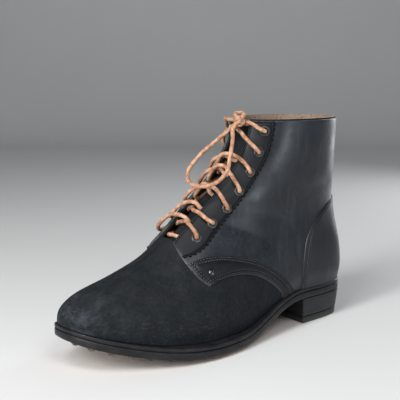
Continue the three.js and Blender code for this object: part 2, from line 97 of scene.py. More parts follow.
SOLE_OUTLINE = [
    (0, 0), (4, 16.5), (14.5, 28), (34, 32.5), (63, 34), (97, 37.5), (130, 44.5), (157, 51),
    (184, 53.5), (215, 49.5), (244, 38), (270, 23), (281.5, 10), (SOLE_TIP_X, SOLE_TIP_Y),
    (281.5, -26), (261, -40.5), (227, -49.5), (198, -51), (176, -48.5), (150, -40.5),
    (123, -32), (97, -30), (63, -32), (34, -31.5), (14.5, -27), (4, -16.5),
]
FRONT_PROFILE = [
    (UPPER_TIP_X, 36), (284.5, 41), (279.5, 48), (265, 56), (235, 65.5), (208, 76), (192, 88),
    (166, 112), (139, 137), (122, 163), (116, 185), (113, 215),
]
BACK_PROFILE = [
    (24, 2), (33, 1), (45, -0.5), (58, 0), (72, 2), (90, 4), (105, 4.5), (135, 5), (160, 7),
    (200, 9.5),
]
SHAFT_PROFILE = [
    (20, 34), (60, 33), (95, 31), (120, 32), (150, 35), (182, 38), (200, 39.5),
]

# Seams in the side view, as x and z.
BAND_FRONT = [(178.5, 55.5), (185.5, 61.5), (190.8, 71.5)]
BAND_LOWER = [
    (178.5, 55.5), (169, 58.6), (157, 60), (144, 59.4), (127, 55.5), (110, 46.5), (97, 36),
    (89, 27),
]
BAND_UPPER = [
    (190.8, 71.5), (183, 74.6), (167, 76.4), (148, 74), (125, 67.5), (107, 58.5), (90, 45.5),
    (75, 30),
]
STAY_EDGE = [
    (191.6, 77), (183, 78.8), (171, 85), (159, 95), (144, 107.5), (133, 118), (124, 128.5),
    (115.5, 139.5), (109, 150), (104.5, 161), (101.5, 172), (100, 183),
]
COUNTER_SEAM = [(69.5, 30), (68.5, 45), (66.5, 60), (61, 78.5), (49, 92)]
COUNTER_TOP = [(38, 99.5), (24, 105.5), (12, 109)]

# The knot and the bow's loops, as in the CAD source.
KNOT_CENTRE = (124, 11, 181.5)
LONG_LOOP = [
    (127, 3, 175), (132, -8, 165), (139, -19, 154), (149, -24, 141), (158, -15, 133),
    (163, 1, 130), (162, 14, 131), (157, 22, 135), (149, 24, 143), (142, 20, 154),
    (134, 14, 167), (130, 10, 176),
]
SMALL_LOOP = [(125, 8, 186), (121, 3, 187.5), (117.5, 4, 188), (118, 9, 188), (121.5, 13.5, 187)]

# ---------------------------------------------------------------- curves


def spline(points, samples=400):
    """A uniform Catmull-Rom spline through the points, sampled evenly in its parameter."""
    p = np.array(points, float)
    last = len(p) - 1
    at = np.linspace(0, last, samples + 1)
    i = np.minimum(at.astype(int), last - 1)
    t = (at - i)[:, None]
    before, a, b, after = p[np.maximum(i - 1, 0)], p[i], p[i + 1], p[np.minimum(i + 2, last)]
    out, into = (b - before) / 2, (after - a) / 2
    cubic = 2 * a - 2 * b + out + into
    square = 3 * b - 3 * a - 2 * out - into
    return cubic * t ** 3 + square * t ** 2 + out * t + a


def closed_spline(points, steps=40):
    """A closed centripetal Catmull-Rom spline."""
    p = np.array(points, float)
    t = np.linspace(0, 1, steps, endpoint=False)[:, None]
    out = []
    for i in range(len(p)):
        q = [p[(i + k) % len(p)] for k in (-1, 0, 1, 2)]
        d = [math.dist(q[k], q[k + 1]) ** 0.5 for k in range(3)]
        m1 = ((q[1] - q[0]) / d[0] - (q[2] - q[0]) / (d[0] + d[1])) * d[1] + q[2] - q[1]
        m2 = ((q[3] - q[2]) / d[2] - (q[3] - q[1]) / (d[1] + d[2])) * d[1] + q[2] - q[1]
        c2, c3 = -3 * q[1] + 3 * q[2] - 2 * m1 - m2, 2 * q[1] - 2 * q[2] + m1 + m2
        out.append(q[1] + m1 * t + c2 * t ** 2 + c3 * t ** 3)
    return np.vstack(out)


def through(points):
    """The spline through the points as a function of their first number."""
    line = spline(points)
    if line[0, 0] > line[-1, 0]:
        line = line[::-1]
    along = np.maximum.accumulate(line[:, 0])
    return lambda x: np.interp(x, along, line[:, 1])


def lengths(points):
    steps = np.linalg.norm(np.diff(points, axis=0), axis=1)
    return np.concatenate([[0], np.cumsum(steps)])


def evenly(points, count):
    """The line through the points again, as count points at an even pitch."""
    points = np.asarray(points, float)
    run = lengths(points)
    at = np.linspace(0, run[-1], count)
    return np.stack([np.interp(at, run, points[:, k]) for k in range(points.shape[1])], -1)


def smooth(low, high, value):
    t = np.clip((np.asarray(value, float) - low) / (high - low), 0, 1)
    return t * t * (3 - 2 * t)


def mix(a, b, t):
    return a + (b - a) * t


def unit(v):
    return v / np.maximum(np.linalg.norm(v, axis=-1, keepdims=True), 1e-9)


# ---------------------------------------------------------------- the form of the last

sole_line = closed_spline(SOLE_OUTLINE)
tip = int(sole_line[:, 0].argmax())
sole_edge = {OUTER: sole_line[:tip + 1], INNER: np.vstack([sole_line[tip:], sole_line[:1]])[::-1]}
front_z = through(FRONT_PROFILE)
front_line_x = through([(z, x) for x, z in FRONT_PROFILE])
back_x = through(BACK_PROFILE)
shaft_half = through(SHAFT_PROFILE)


def front_x(z):
    """The instep line's place at a height. The curve may not run past the plan's tip."""
    return np.minimum(front_line_x(z), UPPER_TIP_X)


def sole_y(side, x):
    return np.interp(x, sole_edge[side][:, 0], sole_edge[side][:, 1])


def sole_z(x):
    """The outsole's underside: flat on its studs, up the toe spring and over the waist."""
    waist = (HEEL_SEAT_Z - STUD_HEIGHT) * (1 - smooth(HEEL_BREAST_X, WAIST_END_X, x))
    return STUD_HEIGHT + waist + np.maximum(0, x - TOE_SPRING_X) ** 2 / (2 * TOE_SPRING_RADIUS)


def midsole_z(x):
    return sole_z(x) + OUTSOLE_THICK + GAP


def feather_z(x):
    return midsole_z(x) + MIDSOLE_THICK + FEATHER_GAP


def ridge_y(x):
    return SOLE_TIP_Y * smooth(60, UPPER_TIP_X, x)


def last_half(side, x):
    """Half width of the last's plan."""
    on_sole = x + (SOLE_TIP_X - UPPER_TIP_X) * smooth(180, UPPER_TIP_X, x)
    margin = 1 - 0.1 * smooth(60, 170, x) + 0.05 * smooth(200, 275, x)
    return np.maximum(0, side * (sole_y(side, on_sole) - ridge_y(x))) * margin


def arch_top(x):
    return np.where(x > 160, front_z(np.maximum(x, 160)), front_z(160) + 0.85 * (160 - x))


def half_width(side, x, z):
    """Half width of the upper at points of its side view."""
    back = back_x(z)
    feather = feather_z(x)
    toe = smooth(195, 270, x)
    rise = np.clip((z - feather) / (arch_top(x) - feather), 0, 1)
    arch = (1 - rise ** mix(np.where(side == OUTER, 1.4, 1.7), 2.2, toe)) ** (1 / 2.1)
    on_foot = x - back * (1 - smooth(40, 120, x))
    foot = np.where(side == OUTER, last_half(OUTER, on_foot), last_half(INNER, on_foot)) * arch
    along = np.clip((x - back) / (front_x(z) - back), 0, 1)
    front = np.where(side == INNER, smooth(0.5, 1, along) * smooth(105, 150, z), 0)
    oval = np.maximum(0, 1 - np.abs(2 * along - 1) ** 2.3) ** (1 / 2.1)
    shaft = shaft_half(z) * oval * (1 - SHIN_FLAT * front)
    tuck = 1 - 0.06 * (1 - smooth(0, 14, z - feather))
    return np.where(x <= back, 0, mix(foot, shaft, smooth(65, 130, z)) * tuck)


def on_form(side, x, z):
    return np.stack([x, ridge_y(x) + side * half_width(side, x, z), z], -1)


def normal_at(side, x, z):
    """The form's outward normal. Its section is gone round by an angle, which crosses over to
    the other side at the back line and at the instep line, so both have a true normal."""
    back, front = back_x(z), front_x(z)
    angle = np.arccos(np.clip(1 - 2 * (x - back) / (front - back), -1, 1))

    def at(turn, height):
        a, b = back_x(height), front_x(height)
        crossed = (turn < 0) | (turn > math.pi)
        folded = np.abs(turn)
        folded = np.where(folded > math.pi, 2 * math.pi - folded, folded)
        here = np.where(crossed, -side, side)
        return on_form(here, a + (b - a) * (1 - np.cos(folded)) / 2, height)

    round_it = at(angle + 0.02, z) - at(angle - 0.02, z)
    up_it = at(angle, z + 0.6) - at(angle, z - 0.6)
    return unit(np.cross(up_it, round_it) * side)


# Creases: two ends in the side view, half width and depth.
CREASES = [
    ((196, 74), (214, 42), 3.6, 0.2),
    ((208, 68), (226, 40), 3.2, 0.16),
    ((220, 64), (236, 42), 3.0, 0.1),
    ((150, 100), (112, 84), 4.0, 0.3),
    ((128, 112), (88, 98), 4.5, 0.3),
    ((60, 120), (28, 126), 5.0, 0.5),
]


def relief(side, x, z):
    """Soft folds and the unevenness of a lasted upper, in millimetres."""
    uneven = 0.16 * np.sin(x / 9.1 + z / 13.7 + side) + 0.13 * np.sin(x / 17.3 - z / 8.9 + 2 * side)
    # It dies out towards the back line and the instep line, where both halves meet.
    total = uneven * smooth(1, 14, half_width(side, x, z))
    for (ax, az), (bx, bz), wide, deep in CREASES:
        run = max(math.hypot(bx - ax, bz - az), 1)
        along = ((x - ax) * (bx - ax) + (z - az) * (bz - az)) / run ** 2
        off = ((x - ax) * (bz - az) - (z - az) * (bx - ax)) / run
        off = off + 0.08 * run * (along - 0.5) ** 2
        ends = smooth(-0.25, 0.2, along) * (1 - smooth(0.8, 1.25, along))
        trough = np.exp(-(off / wide) ** 2) - 0.55 * np.exp(-((off - 2.2 * wide) / (1.3 * wide)) ** 2)
        total = total - deep * ends * trough
    return total


def raised(side, x, z, lift):
    """Points of the surface, lifted along its normal."""
    x, z = np.asarray(x, float), np.asarray(z, float)
    high = (lift + relief(side, x, z))[..., None]
    return on_form(side, x, z) + normal_at(side, x, z) * high


ridge_line = spline(FRONT_PROFILE, 4000)
ridge_way = unit(np.gradient(ridge_line, axis=0))


def beside_ridge(side, z, half, height=0.0):
    """A point off the instep line by the given half width, above the surface by the height."""
    k = int(np.abs(ridge_line[:, 1] - z).argmin())
    away = np.array([-ridge_way[k, 1], ridge_way[k, 0]])
    if half == 0:
        x, z = ridge_line[k] - away * height
        return np.array([x, float(ridge_y(ridge_line[k, 0])), z])
    low, high = 0.0, 60.0
    for _ in range(40):
        reach = (low + high) / 2
        x, z = ridge_line[k] + away * reach
        low, high = (reach, high) if half_width(side, x, z) < half else (low, reach)
    return on_form(side, x, z) + normal_at(side, x, z) * height


def off_instep(side, z, half, height):
    """A point beside the instep line. A negative half width lies on the other side."""
    return beside_ridge(side if half >= 0 else -side, z, abs(half), height)


def throat_half(z):
    return mix(THROAT_HALF_LOW, THROAT_HALF_HIGH, smooth(THROAT_LOW_Z, COLLAR_Z, z))


def facing_x(side, z):
    """Where the upper's front edge runs at a height of the throat."""
    low, high = front_x(z) - 45, front_x(z)
    for _ in range(40):
        x = (low + high) / 2
        narrow = half_width(side, x, z) < throat_half(z)
        low, high = np.where(narrow, low, x), np.where(narrow, x, high)
    return (low + high) / 2


# ---------------------------------------------------------------- meshes


def to_frame(points):
    return (np.asarray(points, float) - (HEEL_CENTRE_X, 0, 0)) * MM


def build(name, points, faces, materials, zones=None, wear_and_highlight=None, merge=0.02):
    """A mesh piece from points in millimetres. Zones are the faces' materials."""
    mesh = bpy.data.meshes.new(name)
    mesh.from_pydata(to_frame(points).tolist(), [], [list(map(int, f)) for f in faces])
    for material in materials:
        mesh.materials.append(material)
    if zones is not None:
        mesh.polygons.foreach_set("material_index", np.asarray(zones, np.int32))
    # The rims' wear and painted highlight, one number for each point.
    if wear_and_highlight is not None:
        layer = mesh.attributes.new("wear_and_highlight", "FLOAT", "POINT")
        layer.data.foreach_set("value", np.asarray(wear_and_highlight, np.float32))
    if merge:
        shape = bmesh.new()
        shape.from_mesh(mesh)
        bmesh.ops.remove_doubles(shape, verts=shape.verts, dist=merge * MM)
        bmesh.ops.dissolve_degenerate(shape, edges=shape.edges, dist=1e-6)
        bmesh.ops.recalc_face_normals(shape, faces=shape.faces)
        shape.to_mesh(mesh)
        shape.free()
    mesh.shade_smooth()
    piece = bpy.data.objects.new(name, mesh)
    bpy.context.scene.collection.objects.link(piece)
    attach(piece, "root")
    return piece


def sharpen(piece, degrees):
    """Edges sharper than the angle are drawn as edges."""
    piece.data.set_sharp_from_angle(angle=math.radians(degrees))


def grid_quads(index):
    corners = [index[:-1, :-1], index[:-1, 1:], index[1:, 1:], index[1:, :-1]]
    return np.stack(corners, -1).reshape(-1, 4)


def round_quads(index):
    """The quads of a grid whose last column joins its first."""
    return grid_quads(np.hstack([index, index[:, :1]]))


def capped(index):
    """The faces of a tube of rings, its ends closed."""
    return round_quads(index).tolist() + [index[0, ::-1].tolist(), index[-1].tolist()]


def stacked(rings):
    """Closed rings one above the other, as points, quads and the row of each quad."""
    stack = np.array(rings)
    rows, columns = stack.shape[:2]
    index = np.arange(rows * columns).reshape(rows, columns)
    return stack.reshape(-1, 3), round_quads(index), np.repeat(np.arange(rows - 1), columns)


def shell(outer, inner):
    """A closed leaf between two grids. Zones: 0 outside, 1 inside, 2 to 5 its first row, last
    row, first column and last column."""
    rows, columns = outer.shape[:2]
    top = np.arange(rows * columns).reshape(rows, columns)
    low = top + rows * columns
    rims = [(top[0], low[0]), (top[-1], low[-1]), (top[:, 0], low[:, 0]), (top[:, -1], low[:, -1])]
    parts = [grid_quads(top), grid_quads(low)[:, ::-1]]
    parts += [np.stack([a[:-1], a[1:], b[1:], b[:-1]], -1) for a, b in rims]
    zones = np.concatenate([np.full(len(p), k) for k, p in enumerate(parts)])
    return np.vstack([outer.reshape(-1, 3), inner.reshape(-1, 3)]), np.vstack(parts), zones


def joined(parts):
    """Several (points, faces) as one."""
    start, points, faces = 0, [], []
    for p, f in parts:
        points.append(p)
        faces += [[int(i) + start for i in face] for face in f]
        start += len(p)
    return np.vstack(points), faces


def tube(path, radius, sides=14, wander=0.05, seed=0):
    """A round thong along a path, a little uneven, with domed ends."""
    way = unit(np.gradient(path, axis=0))
    across = np.zeros_like(path)
    across[0] = unit(np.cross(way[0], (0.3, 0.2, 0.93)))
    for i in range(1, len(path)):
        across[i] = unit(across[i - 1] - way[i] * (across[i - 1] @ way[i]))
    other = np.cross(way, across)
    turn = np.linspace(0, 2 * math.pi, sides, endpoint=False)
    run = lengths(path)
    fat = 1 + wander * np.sin(run[:, None] / 2.9 + seed + np.sin(turn)) \
        + wander * 0.7 * np.sin(run[:, None] / 1.3 + 3 * turn + 2 * seed)
    dome = np.sqrt(np.clip(np.minimum(run, run[-1] - run) / radius, 0.05, 1))
    r = (radius * fat * dome[:, None])[..., None]
    out = across[:, None] * np.cos(turn)[:, None] + other[:, None] * np.sin(turn)[:, None]
    index = np.arange(len(path) * sides).reshape(len(path), sides)
    return (path[:, None] + r * out).reshape(-1, 3), capped(index)


def lathe(profile, seat, axis, sides=24):
    """A turned shape on an axis. The profile is radius and height, from the axis or closed."""
    axis = unit(np.asarray(axis, float))
    u = unit(np.cross(axis, (0.31, 0.92, 0.24)))
    v = np.cross(axis, u)
    turn = np.linspace(0, 2 * math.pi, sides, endpoint=False)
    ring = np.cos(turn)[:, None] * u + np.sin(turn)[:, None] * v
    points = np.vstack([np.asarray(seat) + axis * h + ring * r for r, h in profile])
    index = np.arange(len(points)).reshape(len(profile), sides)
    return points, round_quads(index).tolist()


def stitch_row(line, normals, pitch, size, slant=0.0):
    """Stitches along a line on the surface: small threads that dip into the leather."""
    run = lengths(line)
    count = max(2, int(run[-1] / pitch))
    at = (np.arange(count) + 0.5) * run[-1] / count
    seat = np.stack([np.interp(at, run, line[:, k]) for k in range(3)], -1)
    ahead = np.stack([np.interp(at + 0.4, run, line[:, k]) for k in range(3)], -1)
    behind = np.stack([np.interp(at - 0.4, run, line[:, k]) for k in range(3)], -1)
    up = unit(np.stack([np.interp(at, run, normals[:, k]) for k in range(3)], -1))
    way = unit(ahead - behind)
    side = unit(np.cross(up, way))
    way = unit(way + side * slant * np.where(np.arange(count) % 2, 1, -1)[:, None])
    side = unit(np.cross(up, way))
    long, wide, high = size
    turn = np.linspace(0, 2 * math.pi, 6, endpoint=False)
    # Along the thread, as shares of its half length, its thickness and its half height.
    sections = [(-1, 0.3, -0.9), (-0.72, 0.85, -0.1), (0, 1, 0.35), (0.72, 0.85, -0.1), (1, 0.3, -0.9)]
    template = np.array([
        (s * long / 2, math.cos(a) * wide / 2 * fat, (math.sin(a) * fat + lift) * high / 2)
        for s, fat, lift in sections for a in turn])
    points = (seat[:, None] + template[:, 0, None] * way[:, None] + template[:, 1, None] * side[:, None]
              + template[:, 2, None] * up[:, None])
    faces = capped(np.arange(len(sections) * 6).reshape(-1, 6))
    return joined([(p, faces) for p in points])


# ---------------------------------------------------------------- panels of leather

# How a panel's surface falls away near a side, as distance and drop in parts of the lift.
# A stitched side has two sunk rows for its thread.
PLAIN_SIDE = [(0, 0)]
CUT_SIDE = [(0, 0.55), (0.2, 0.22), (0.5, 0.05), (1.0, 0)]
STITCHED_SIDE = CUT_SIDE + [(1.6, 0.4), (2.2, 0), (3.2, 0), (3.8, 0.4), (4.4, 0)]
STITCH_AT = (1.6, 3.8)
ONE_ROW_SIDE = CUT_SIDE + [(1.6, 0.4), (2.2, 0)]
# How much paler a rim is painted by its distance from the edge: partly a rubbed cut edge, partly a
# painted highlight along it.
WEAR_AND_HIGHLIGHT = {0: 1.0, 0.2: 0.7, 0.5: 0.15}


def coons(bottom, top, left, right):
    """The surface between four lines of the side view, by u to the right and v up."""
    lines = [evenly(line, 600) for line in (bottom, top, left, right)]
    at = np.linspace(0, 1, 600)

    def pick(line, t):
        return np.stack([np.interp(t, at, line[:, k]) for k in range(2)], -1)

    def place(u, v):
        b, t, l, r = (pick(line, w) for line, w in zip(lines, (u, u, v, v)))
        u, v = u[..., None], v[..., None]
        corners = ((1 - u) * (1 - v) * lines[0][0] + u * (1 - v) * lines[0][-1]
                   + (1 - u) * v * lines[1][0] + u * v * lines[1][-1])
        return (1 - v) * b + v * t + (1 - u) * l + u * r - corners

    return place


def stations(length, first, last, step):
    """Distances from the first side: those of both sides' profiles, and even steps between."""
    near = [d for d, _ in first]
    far = [length - d for d, _ in last][::-1]
    count = max(1, round((length - near[-1] - (length - far[0])) / step))
    between = np.linspace(near[-1], far[0], count + 1)[1:-1]
    return near, between, far


def panel(side, bottom, top, left, right, lift, sides, step=2.0):
    """A leaf of leather between four lines. Sides are the profiles of bottom, top, left and
    right. Gives outer and inner points, the rims' wear and painted highlight, and the stitch rows of each
    side."""
    place = coons(bottom, top, left, right)
    # Both directions are measured over the form, so each profile lies at its true distance.
    dense = (1 - np.cos(np.linspace(0, math.pi, 300))) / 2

    def runs(count, across):
        nominal = np.linspace(0, 1, count)
        u, v = np.meshgrid(dense, nominal)
        xz = place(u, v) if across else place(v, u)
        solid = on_form(side, xz[..., 0], xz[..., 1])
        step_lengths = np.linalg.norm(np.diff(solid, axis=1), axis=2)
        return nominal, np.hstack([np.zeros((count, 1)), np.cumsum(step_lengths, 1)])

    def spread(profiles, across):
        nominal, run = runs(41, across)
        middle = float(np.median(run[:, -1]))
        near, between, far = stations(middle, profiles[0], profiles[1], step)
        share = (between - near[-1]) / max(far[0] - near[-1], 1e-6) if len(between) else np.array([])
        table = []
        for k in range(len(nominal)):
            whole = run[k, -1]
            shrink = min(1, 0.98 * whole / max(near[-1] + middle - far[0], 1e-6))
            low = [d * shrink for d in near]
            high = [whole - (middle - d) * shrink for d in far]
            inside = low[-1] + share * (high[0] - low[-1])
            at = np.concatenate([low, inside, high])
            table.append(np.interp(at, run[k], dense))
        return nominal, np.array(table)

    nominal_v, u_table = spread((sides[2], sides[3]), True)
    nominal_u, v_table = spread((sides[0], sides[1]), False)
    columns, rows = u_table.shape[1], v_table.shape[1]
    u = np.tile(u_table.mean(0), (rows, 1))
    v = np.tile(v_table.mean(0)[:, None], (1, columns))
    for _ in range(2):
        u_next = np.stack([np.interp(v[:, i], nominal_v, u_table[:, i]) for i in range(columns)], 1)
        v_next = np.stack([np.interp(u[j], nominal_u, v_table[:, j]) for j in range(rows)], 0)
        u, v = u_next, v_next
    xz = place(u, v)
    drop = np.zeros((rows, columns))
    wear_and_highlight = np.zeros((rows, columns))
    bands = [(sides[0], lambda k: np.s_[k, :]), (sides[1], lambda k: np.s_[rows - 1 - k, :]),
             (sides[2], lambda k: np.s_[:, k]), (sides[3], lambda k: np.s_[:, columns - 1 - k])]
    for profile, where in bands:
        for k, (distance, fall) in enumerate(profile):
            drop[where(k)] = np.maximum(drop[where(k)], fall)
            if len(profile) > 1:
                wear_and_highlight[where(k)] = np.maximum(wear_and_highlight[where(k)], WEAR_AND_HIGHLIGHT.get(distance, 0))
    x, z = xz[..., 0], xz[..., 1]
    form, normals = on_form(side, x, z), normal_at(side, x, z)
    uneven = relief(side, x, z)
    outer = form + normals * (lift - drop * abs(lift - BURIED) * 0.8 + uneven)[..., None]
    inner = form + normals * (BURIED + uneven)[..., None]
    seams = []
    for profile, where in bands:
        for k, (distance, _) in enumerate(profile):
            if distance in STITCH_AT:
                seams.append((outer[where(k)], normals[where(k)]))
    return outer, inner, wear_and_highlight, seams


def panel_piece(name, halves, material):
    """One piece from one or two panels."""
    parts, wears_and_highlights = [], []
    for outer, inner, wear_and_highlight, _ in halves:
        points, faces, _ = shell(outer, inner)
        parts.append((points, faces))
        wears_and_highlights += [wear_and_highlight.ravel(), wear_and_highlight.ravel()]
    points, faces = joined(parts)
    if len(halves) == 2:
        # The walls where both halves meet are left out, so the weld shows no slit.
        faces = [face for face in faces if np.abs(points[face][:, 1]).max() > 0.01]
    piece = build(name, points, faces, [material], wear_and_highlight=np.concatenate(wears_and_highlights),
                  merge=0.02 if len(halves) == 1 else 0.06)
    sharpen(piece, 60)


def stitching(name, rows, material, pitch=2.5, size=(1.9, 0.95, 0.9), slant=0.0):
    points, faces = joined([stitch_row(line, normals, pitch, size, slant) for line, normals in rows])
    return build(name, points, faces, [material], merge=0)


# ---------------------------------------------------------------- finishes


class Finish:
    """A procedural material, its patterns laid in the object's own millimetres."""

    def __init__(self, name, **shader):
        self.material = bpy.data.materials.new(name)
        self.material.use_nodes = True
        self.tree = self.material.node_tree
        self.shader = self.tree.nodes["Principled BSDF"]
        for socket, value in shader.items():
            self.shader.inputs[socket.replace("_", " ")].default_value = value
        self.place = self.add("ShaderNodeVectorMath", operation="SCALE")
        self.place.inputs["Scale"].default_value = 1 / MM
        self.link(self.add("ShaderNodeTexCoord").outputs["Object"], self.place.inputs[0])
        self.at = self.place.outputs[0]
        self.normal = None

    def add(self, kind, **settings):
        node = self.tree.nodes.new(kind)
        for key, value in settings.items():
            setattr(node, key, value)
        return node

    def link(self, out, into):
        self.tree.links.new(out, into)

    def stretched(self, x, y, z):
        node = self.add("ShaderNodeVectorMath", operation="MULTIPLY")
        self.link(self.at, node.inputs[0])
        node.inputs[1].default_value = (x, y, z)
        return node.outputs[0]

    def noise(self, size, detail=4.0, rough=0.55, at=None, warp=0.0):
        node = self.add("ShaderNodeTexNoise")
        self.link(at or self.at, node.inputs["Vector"])
        node.inputs["Scale"].default_value = 1 / size
        node.inputs["Detail"].default_value = detail
        node.inputs["Roughness"].default_value = rough
        node.inputs["Distortion"].default_value = warp
        return node.outputs["Fac"]

    def cells(self, size):
        node = self.add("ShaderNodeTexVoronoi")
        self.link(self.at, node.inputs["Vector"])
        node.inputs["Scale"].default_value = 1 / size
        return node.outputs["Distance"]

    def value(self, fac, low, high, to_low=0.0, to_high=1.0):
        """The pattern between two of its values, brought softly between two others."""
        node = self.add("ShaderNodeMapRange", interpolation_type="SMOOTHSTEP")
        self.link(fac, node.inputs["Value"])
        limits = {"From Min": low, "From Max": high, "To Min": to_low, "To Max": to_high}
        for socket, number in limits.items():
            node.inputs[socket].default_value = number
        return node.outputs["Result"]

    def math(self, operation, a, b):
        node = self.add("ShaderNodeMath", operation=operation)
        for socket, item in zip(node.inputs, (a, b)):
            if isinstance(item, (int, float)):
                socket.default_value = item
            else:
                self.link(item, socket)
        return node.outputs[0]

    def mixed(self, fac, a, b):
        """Two colours by a factor. A colour is three numbers or another pattern."""
        node = self.add("ShaderNodeMix", data_type="RGBA")
        self.link(fac, node.inputs["Factor"])
        for socket, item in zip((node.inputs[6], node.inputs[7]), (a, b)):
            if isinstance(item, tuple):
                socket.default_value = (*item, 1)
            else:
                self.link(item, socket)
        return node.outputs[2]

    def wear_and_highlight_mask(self):
        """How rubbed a place is and how much highlight is painted there, from the mesh."""
        node = self.add("ShaderNodeAttribute", attribute_name="wear_and_highlight")
        return node.outputs["Fac"]

    def axis(self, index):
        node = self.add("ShaderNodeSeparateXYZ")
        self.link(self.at, node.inputs[0])
        return node.outputs[index]

    def colour(self, out):
        self.link(out, self.shader.inputs["Base Color"])

    def roughness(self, out):
        self.link(out, self.shader.inputs["Roughness"])

    def bump(self, height, depth, strength=1.0):
        """Adds relief of that depth in millimetres on top of what is there."""
        node = self.add("ShaderNodeBump")
        node.inputs["Strength"].default_value = strength
        node.inputs["Distance"].default_value = depth * MM
        self.link(height, node.inputs["Height"])
        if self.normal is not None:
            self.link(self.normal, node.inputs["Normal"])
        self.normal = node.outputs[0]
        self.link(self.normal, self.shader.inputs["Normal"])


# Black calf: its darkest, usual and palest colour.
CALF = ((0.0060, 0.0084, 0.0125), (0.0125, 0.0160, 0.0215), (0.033, 0.039, 0.048))


def smooth_leather(name, sheen, smoothest, tone, wear_and_highlight_grey):
    """Waxed black calf: fine grain, cloudy gloss, greyish where edges are cut or rubbed and where a
    highlight is painted along them.
    """
    f = Finish(name, Specular_IOR_Level=sheen)
    dark, light, cloudy = [tuple(tone * c for c in colour) for colour in CALF]
    cloud = f.noise(26, 3)
    fine = f.noise(1.5, 5)
    base = f.mixed(f.value(cloud, 0.3, 0.7), dark, light)
    base = f.mixed(f.value(fine, 0.5, 0.75, 0, 0.5), base, cloudy)
    streak = f.noise(5.0, 4, 0.6, at=f.stretched(1, 1, 0.12))
    base = f.mixed(f.value(streak, 0.52, 0.75, 0, 0.45), base, cloudy)
    # Rims: a paler grey, partly rubbed cut edges and partly a painted highlight along each edge; the
    # counter's grey is near black, so its rims stay dark.
    rub_and_highlight = f.math("MULTIPLY", f.wear_and_highlight_mask(), f.value(f.noise(2.6, 4), 0.3, 0.62, 0.3, 1))
    f.colour(f.mixed(rub_and_highlight, base, (wear_and_highlight_grey, wear_and_highlight_grey, wear_and_highlight_grey)))
    gloss = f.math("ADD", f.noise(18, 4), f.math("MULTIPLY", fine, 0.35))
    f.roughness(f.value(gloss, 0.45, 0.95, smoothest, smoothest + 0.2))
    f.bump(f.cells(0.95), 0.05, 0.55)
    f.bump(f.noise(0.45, 3), 0.03, 0.5)
    f.bump(f.noise(7, 3, warp=0.6), 0.16, 0.5)
    return f.material


def rough_leather():
    """Black waxed flesh-out leather: matt and fibrous, scuffed pale at the toe and the ball, with painted
    sheen in paler patches higher up and on the toe.
    """
    f = Finish("rough_black_leather", Specular_IOR_Level=0.2)
    cloud = f.value(f.noise(14, 4, 0.6), 0.3, 0.72)
    base = f.mixed(cloud, (0.0042, 0.0058, 0.0074), (0.0092, 0.0114, 0.0140))
    fibre = f.noise(0.8, 6, 0.7, at=f.stretched(0.6, 1, 1.3))
    base = f.mixed(f.value(fibre, 0.48, 0.74, 0, 0.75), base, (0.028, 0.033, 0.037))
    scratch = f.value(f.noise(1.6, 5, 0.7, at=f.stretched(0.3, 0.6, 1.5), warp=0.8), 0.56, 0.68)
    toe = f.value(f.axis(0), 228, 250)
    ball = f.math("MULTIPLY", f.value(f.axis(2), 44, 33), f.value(f.axis(0), 95, 150))
    scuff = f.math("MULTIPLY", scratch, f.math("MAXIMUM", toe, f.math("MULTIPLY", ball, 0.7)))
    # A paler blue-grey smear over the toe: partly scuffs, partly a painted sheen.
    toe_smear_and_sheen = f.value(f.noise(9, 5, 0.65, at=f.stretched(0.6, 1, 1.2), warp=0.5), 0.46, 0.66)
    toe_smear_and_sheen = f.math("MULTIPLY", toe_smear_and_sheen, f.value(f.axis(0), 205, 245))
    base = f.mixed(f.math("MULTIPLY", toe_smear_and_sheen, 0.7), base, (0.030, 0.037, 0.046))
    # Painted sheen: paler brownish patches on the upper part of the vamp, where light falls on its top.
    tan = f.math("MULTIPLY", f.value(f.noise(13, 4), 0.5, 0.7), f.value(f.axis(2), 40, 62))
    base = f.mixed(f.math("MULTIPLY", tan, 0.4), base, (0.021, 0.021, 0.017))
    base = f.mixed(f.math("MULTIPLY", scuff, 0.5), base, (0.085, 0.090, 0.093))
    f.colour(f.mixed(f.math("MULTIPLY", f.wear_and_highlight_mask(), 0.6), base, (0.10, 0.10, 0.10)))
    f.roughness(f.value(f.noise(3.2, 5), 0.3, 0.7, 0.66, 0.86))
    f.bump(fibre, 0.10, 0.8)
    f.bump(f.noise(0.35, 4, 0.7), 0.07, 0.7)
    f.bump(f.noise(5.5, 3), 0.10, 0.5)
    return f.material


def thread():
    """Waxed black thread."""
    f = Finish("black_thread", Specular_IOR_Level=0.15)
    f.colour(f.mixed(f.noise(1.1, 3), (0.0015, 0.0017, 0.0022), (0.008, 0.009, 0.011)))
    f.roughness(f.value(f.noise(0.6, 2), 0.3, 0.7, 0.7, 0.9))
    f.bump(f.noise(0.25, 3), 0.05, 0.7)
    return f.material


def lifted_thread():
    """The same thread rubbed grey on its crown."""
    f = Finish("rubbed_thread", Specular_IOR_Level=0.5)
    f.colour(f.mixed(f.noise(1.3, 3), (0.020, 0.022, 0.026), (0.095, 0.099, 0.106)))
    f.roughness(f.value(f.noise(0.6, 2), 0.3, 0.7, 0.42, 0.65))
    f.bump(f.noise(0.25, 3), 0.05, 0.7)
    return f.material


def lace_leather():
    """Raw cut leather thong, rounded, paler on its grain and darker red in patches that lie at random."""
    f = Finish("lace_leather", Specular_IOR_Level=0.35)
    grain = f.noise(4.5, 5, 0.6)
    base = f.mixed(f.value(grain, 0.36, 0.64), (0.33, 0.155, 0.085), (0.56, 0.335, 0.220))
    base = f.mixed(f.value(f.noise(11, 3), 0.5, 0.68, 0, 0.6), base, (0.25, 0.105, 0.055))
    f.colour(f.mixed(f.value(f.noise(1.6, 4), 0.52, 0.72, 0, 0.4), base, (0.66, 0.46, 0.33)))
    f.roughness(f.value(grain, 0.3, 0.7, 0.52, 0.72))
    f.bump(f.noise(0.55, 5, 0.7), 0.16, 0.7)
    f.bump(grain, 0.25, 0.6)
    return f.material


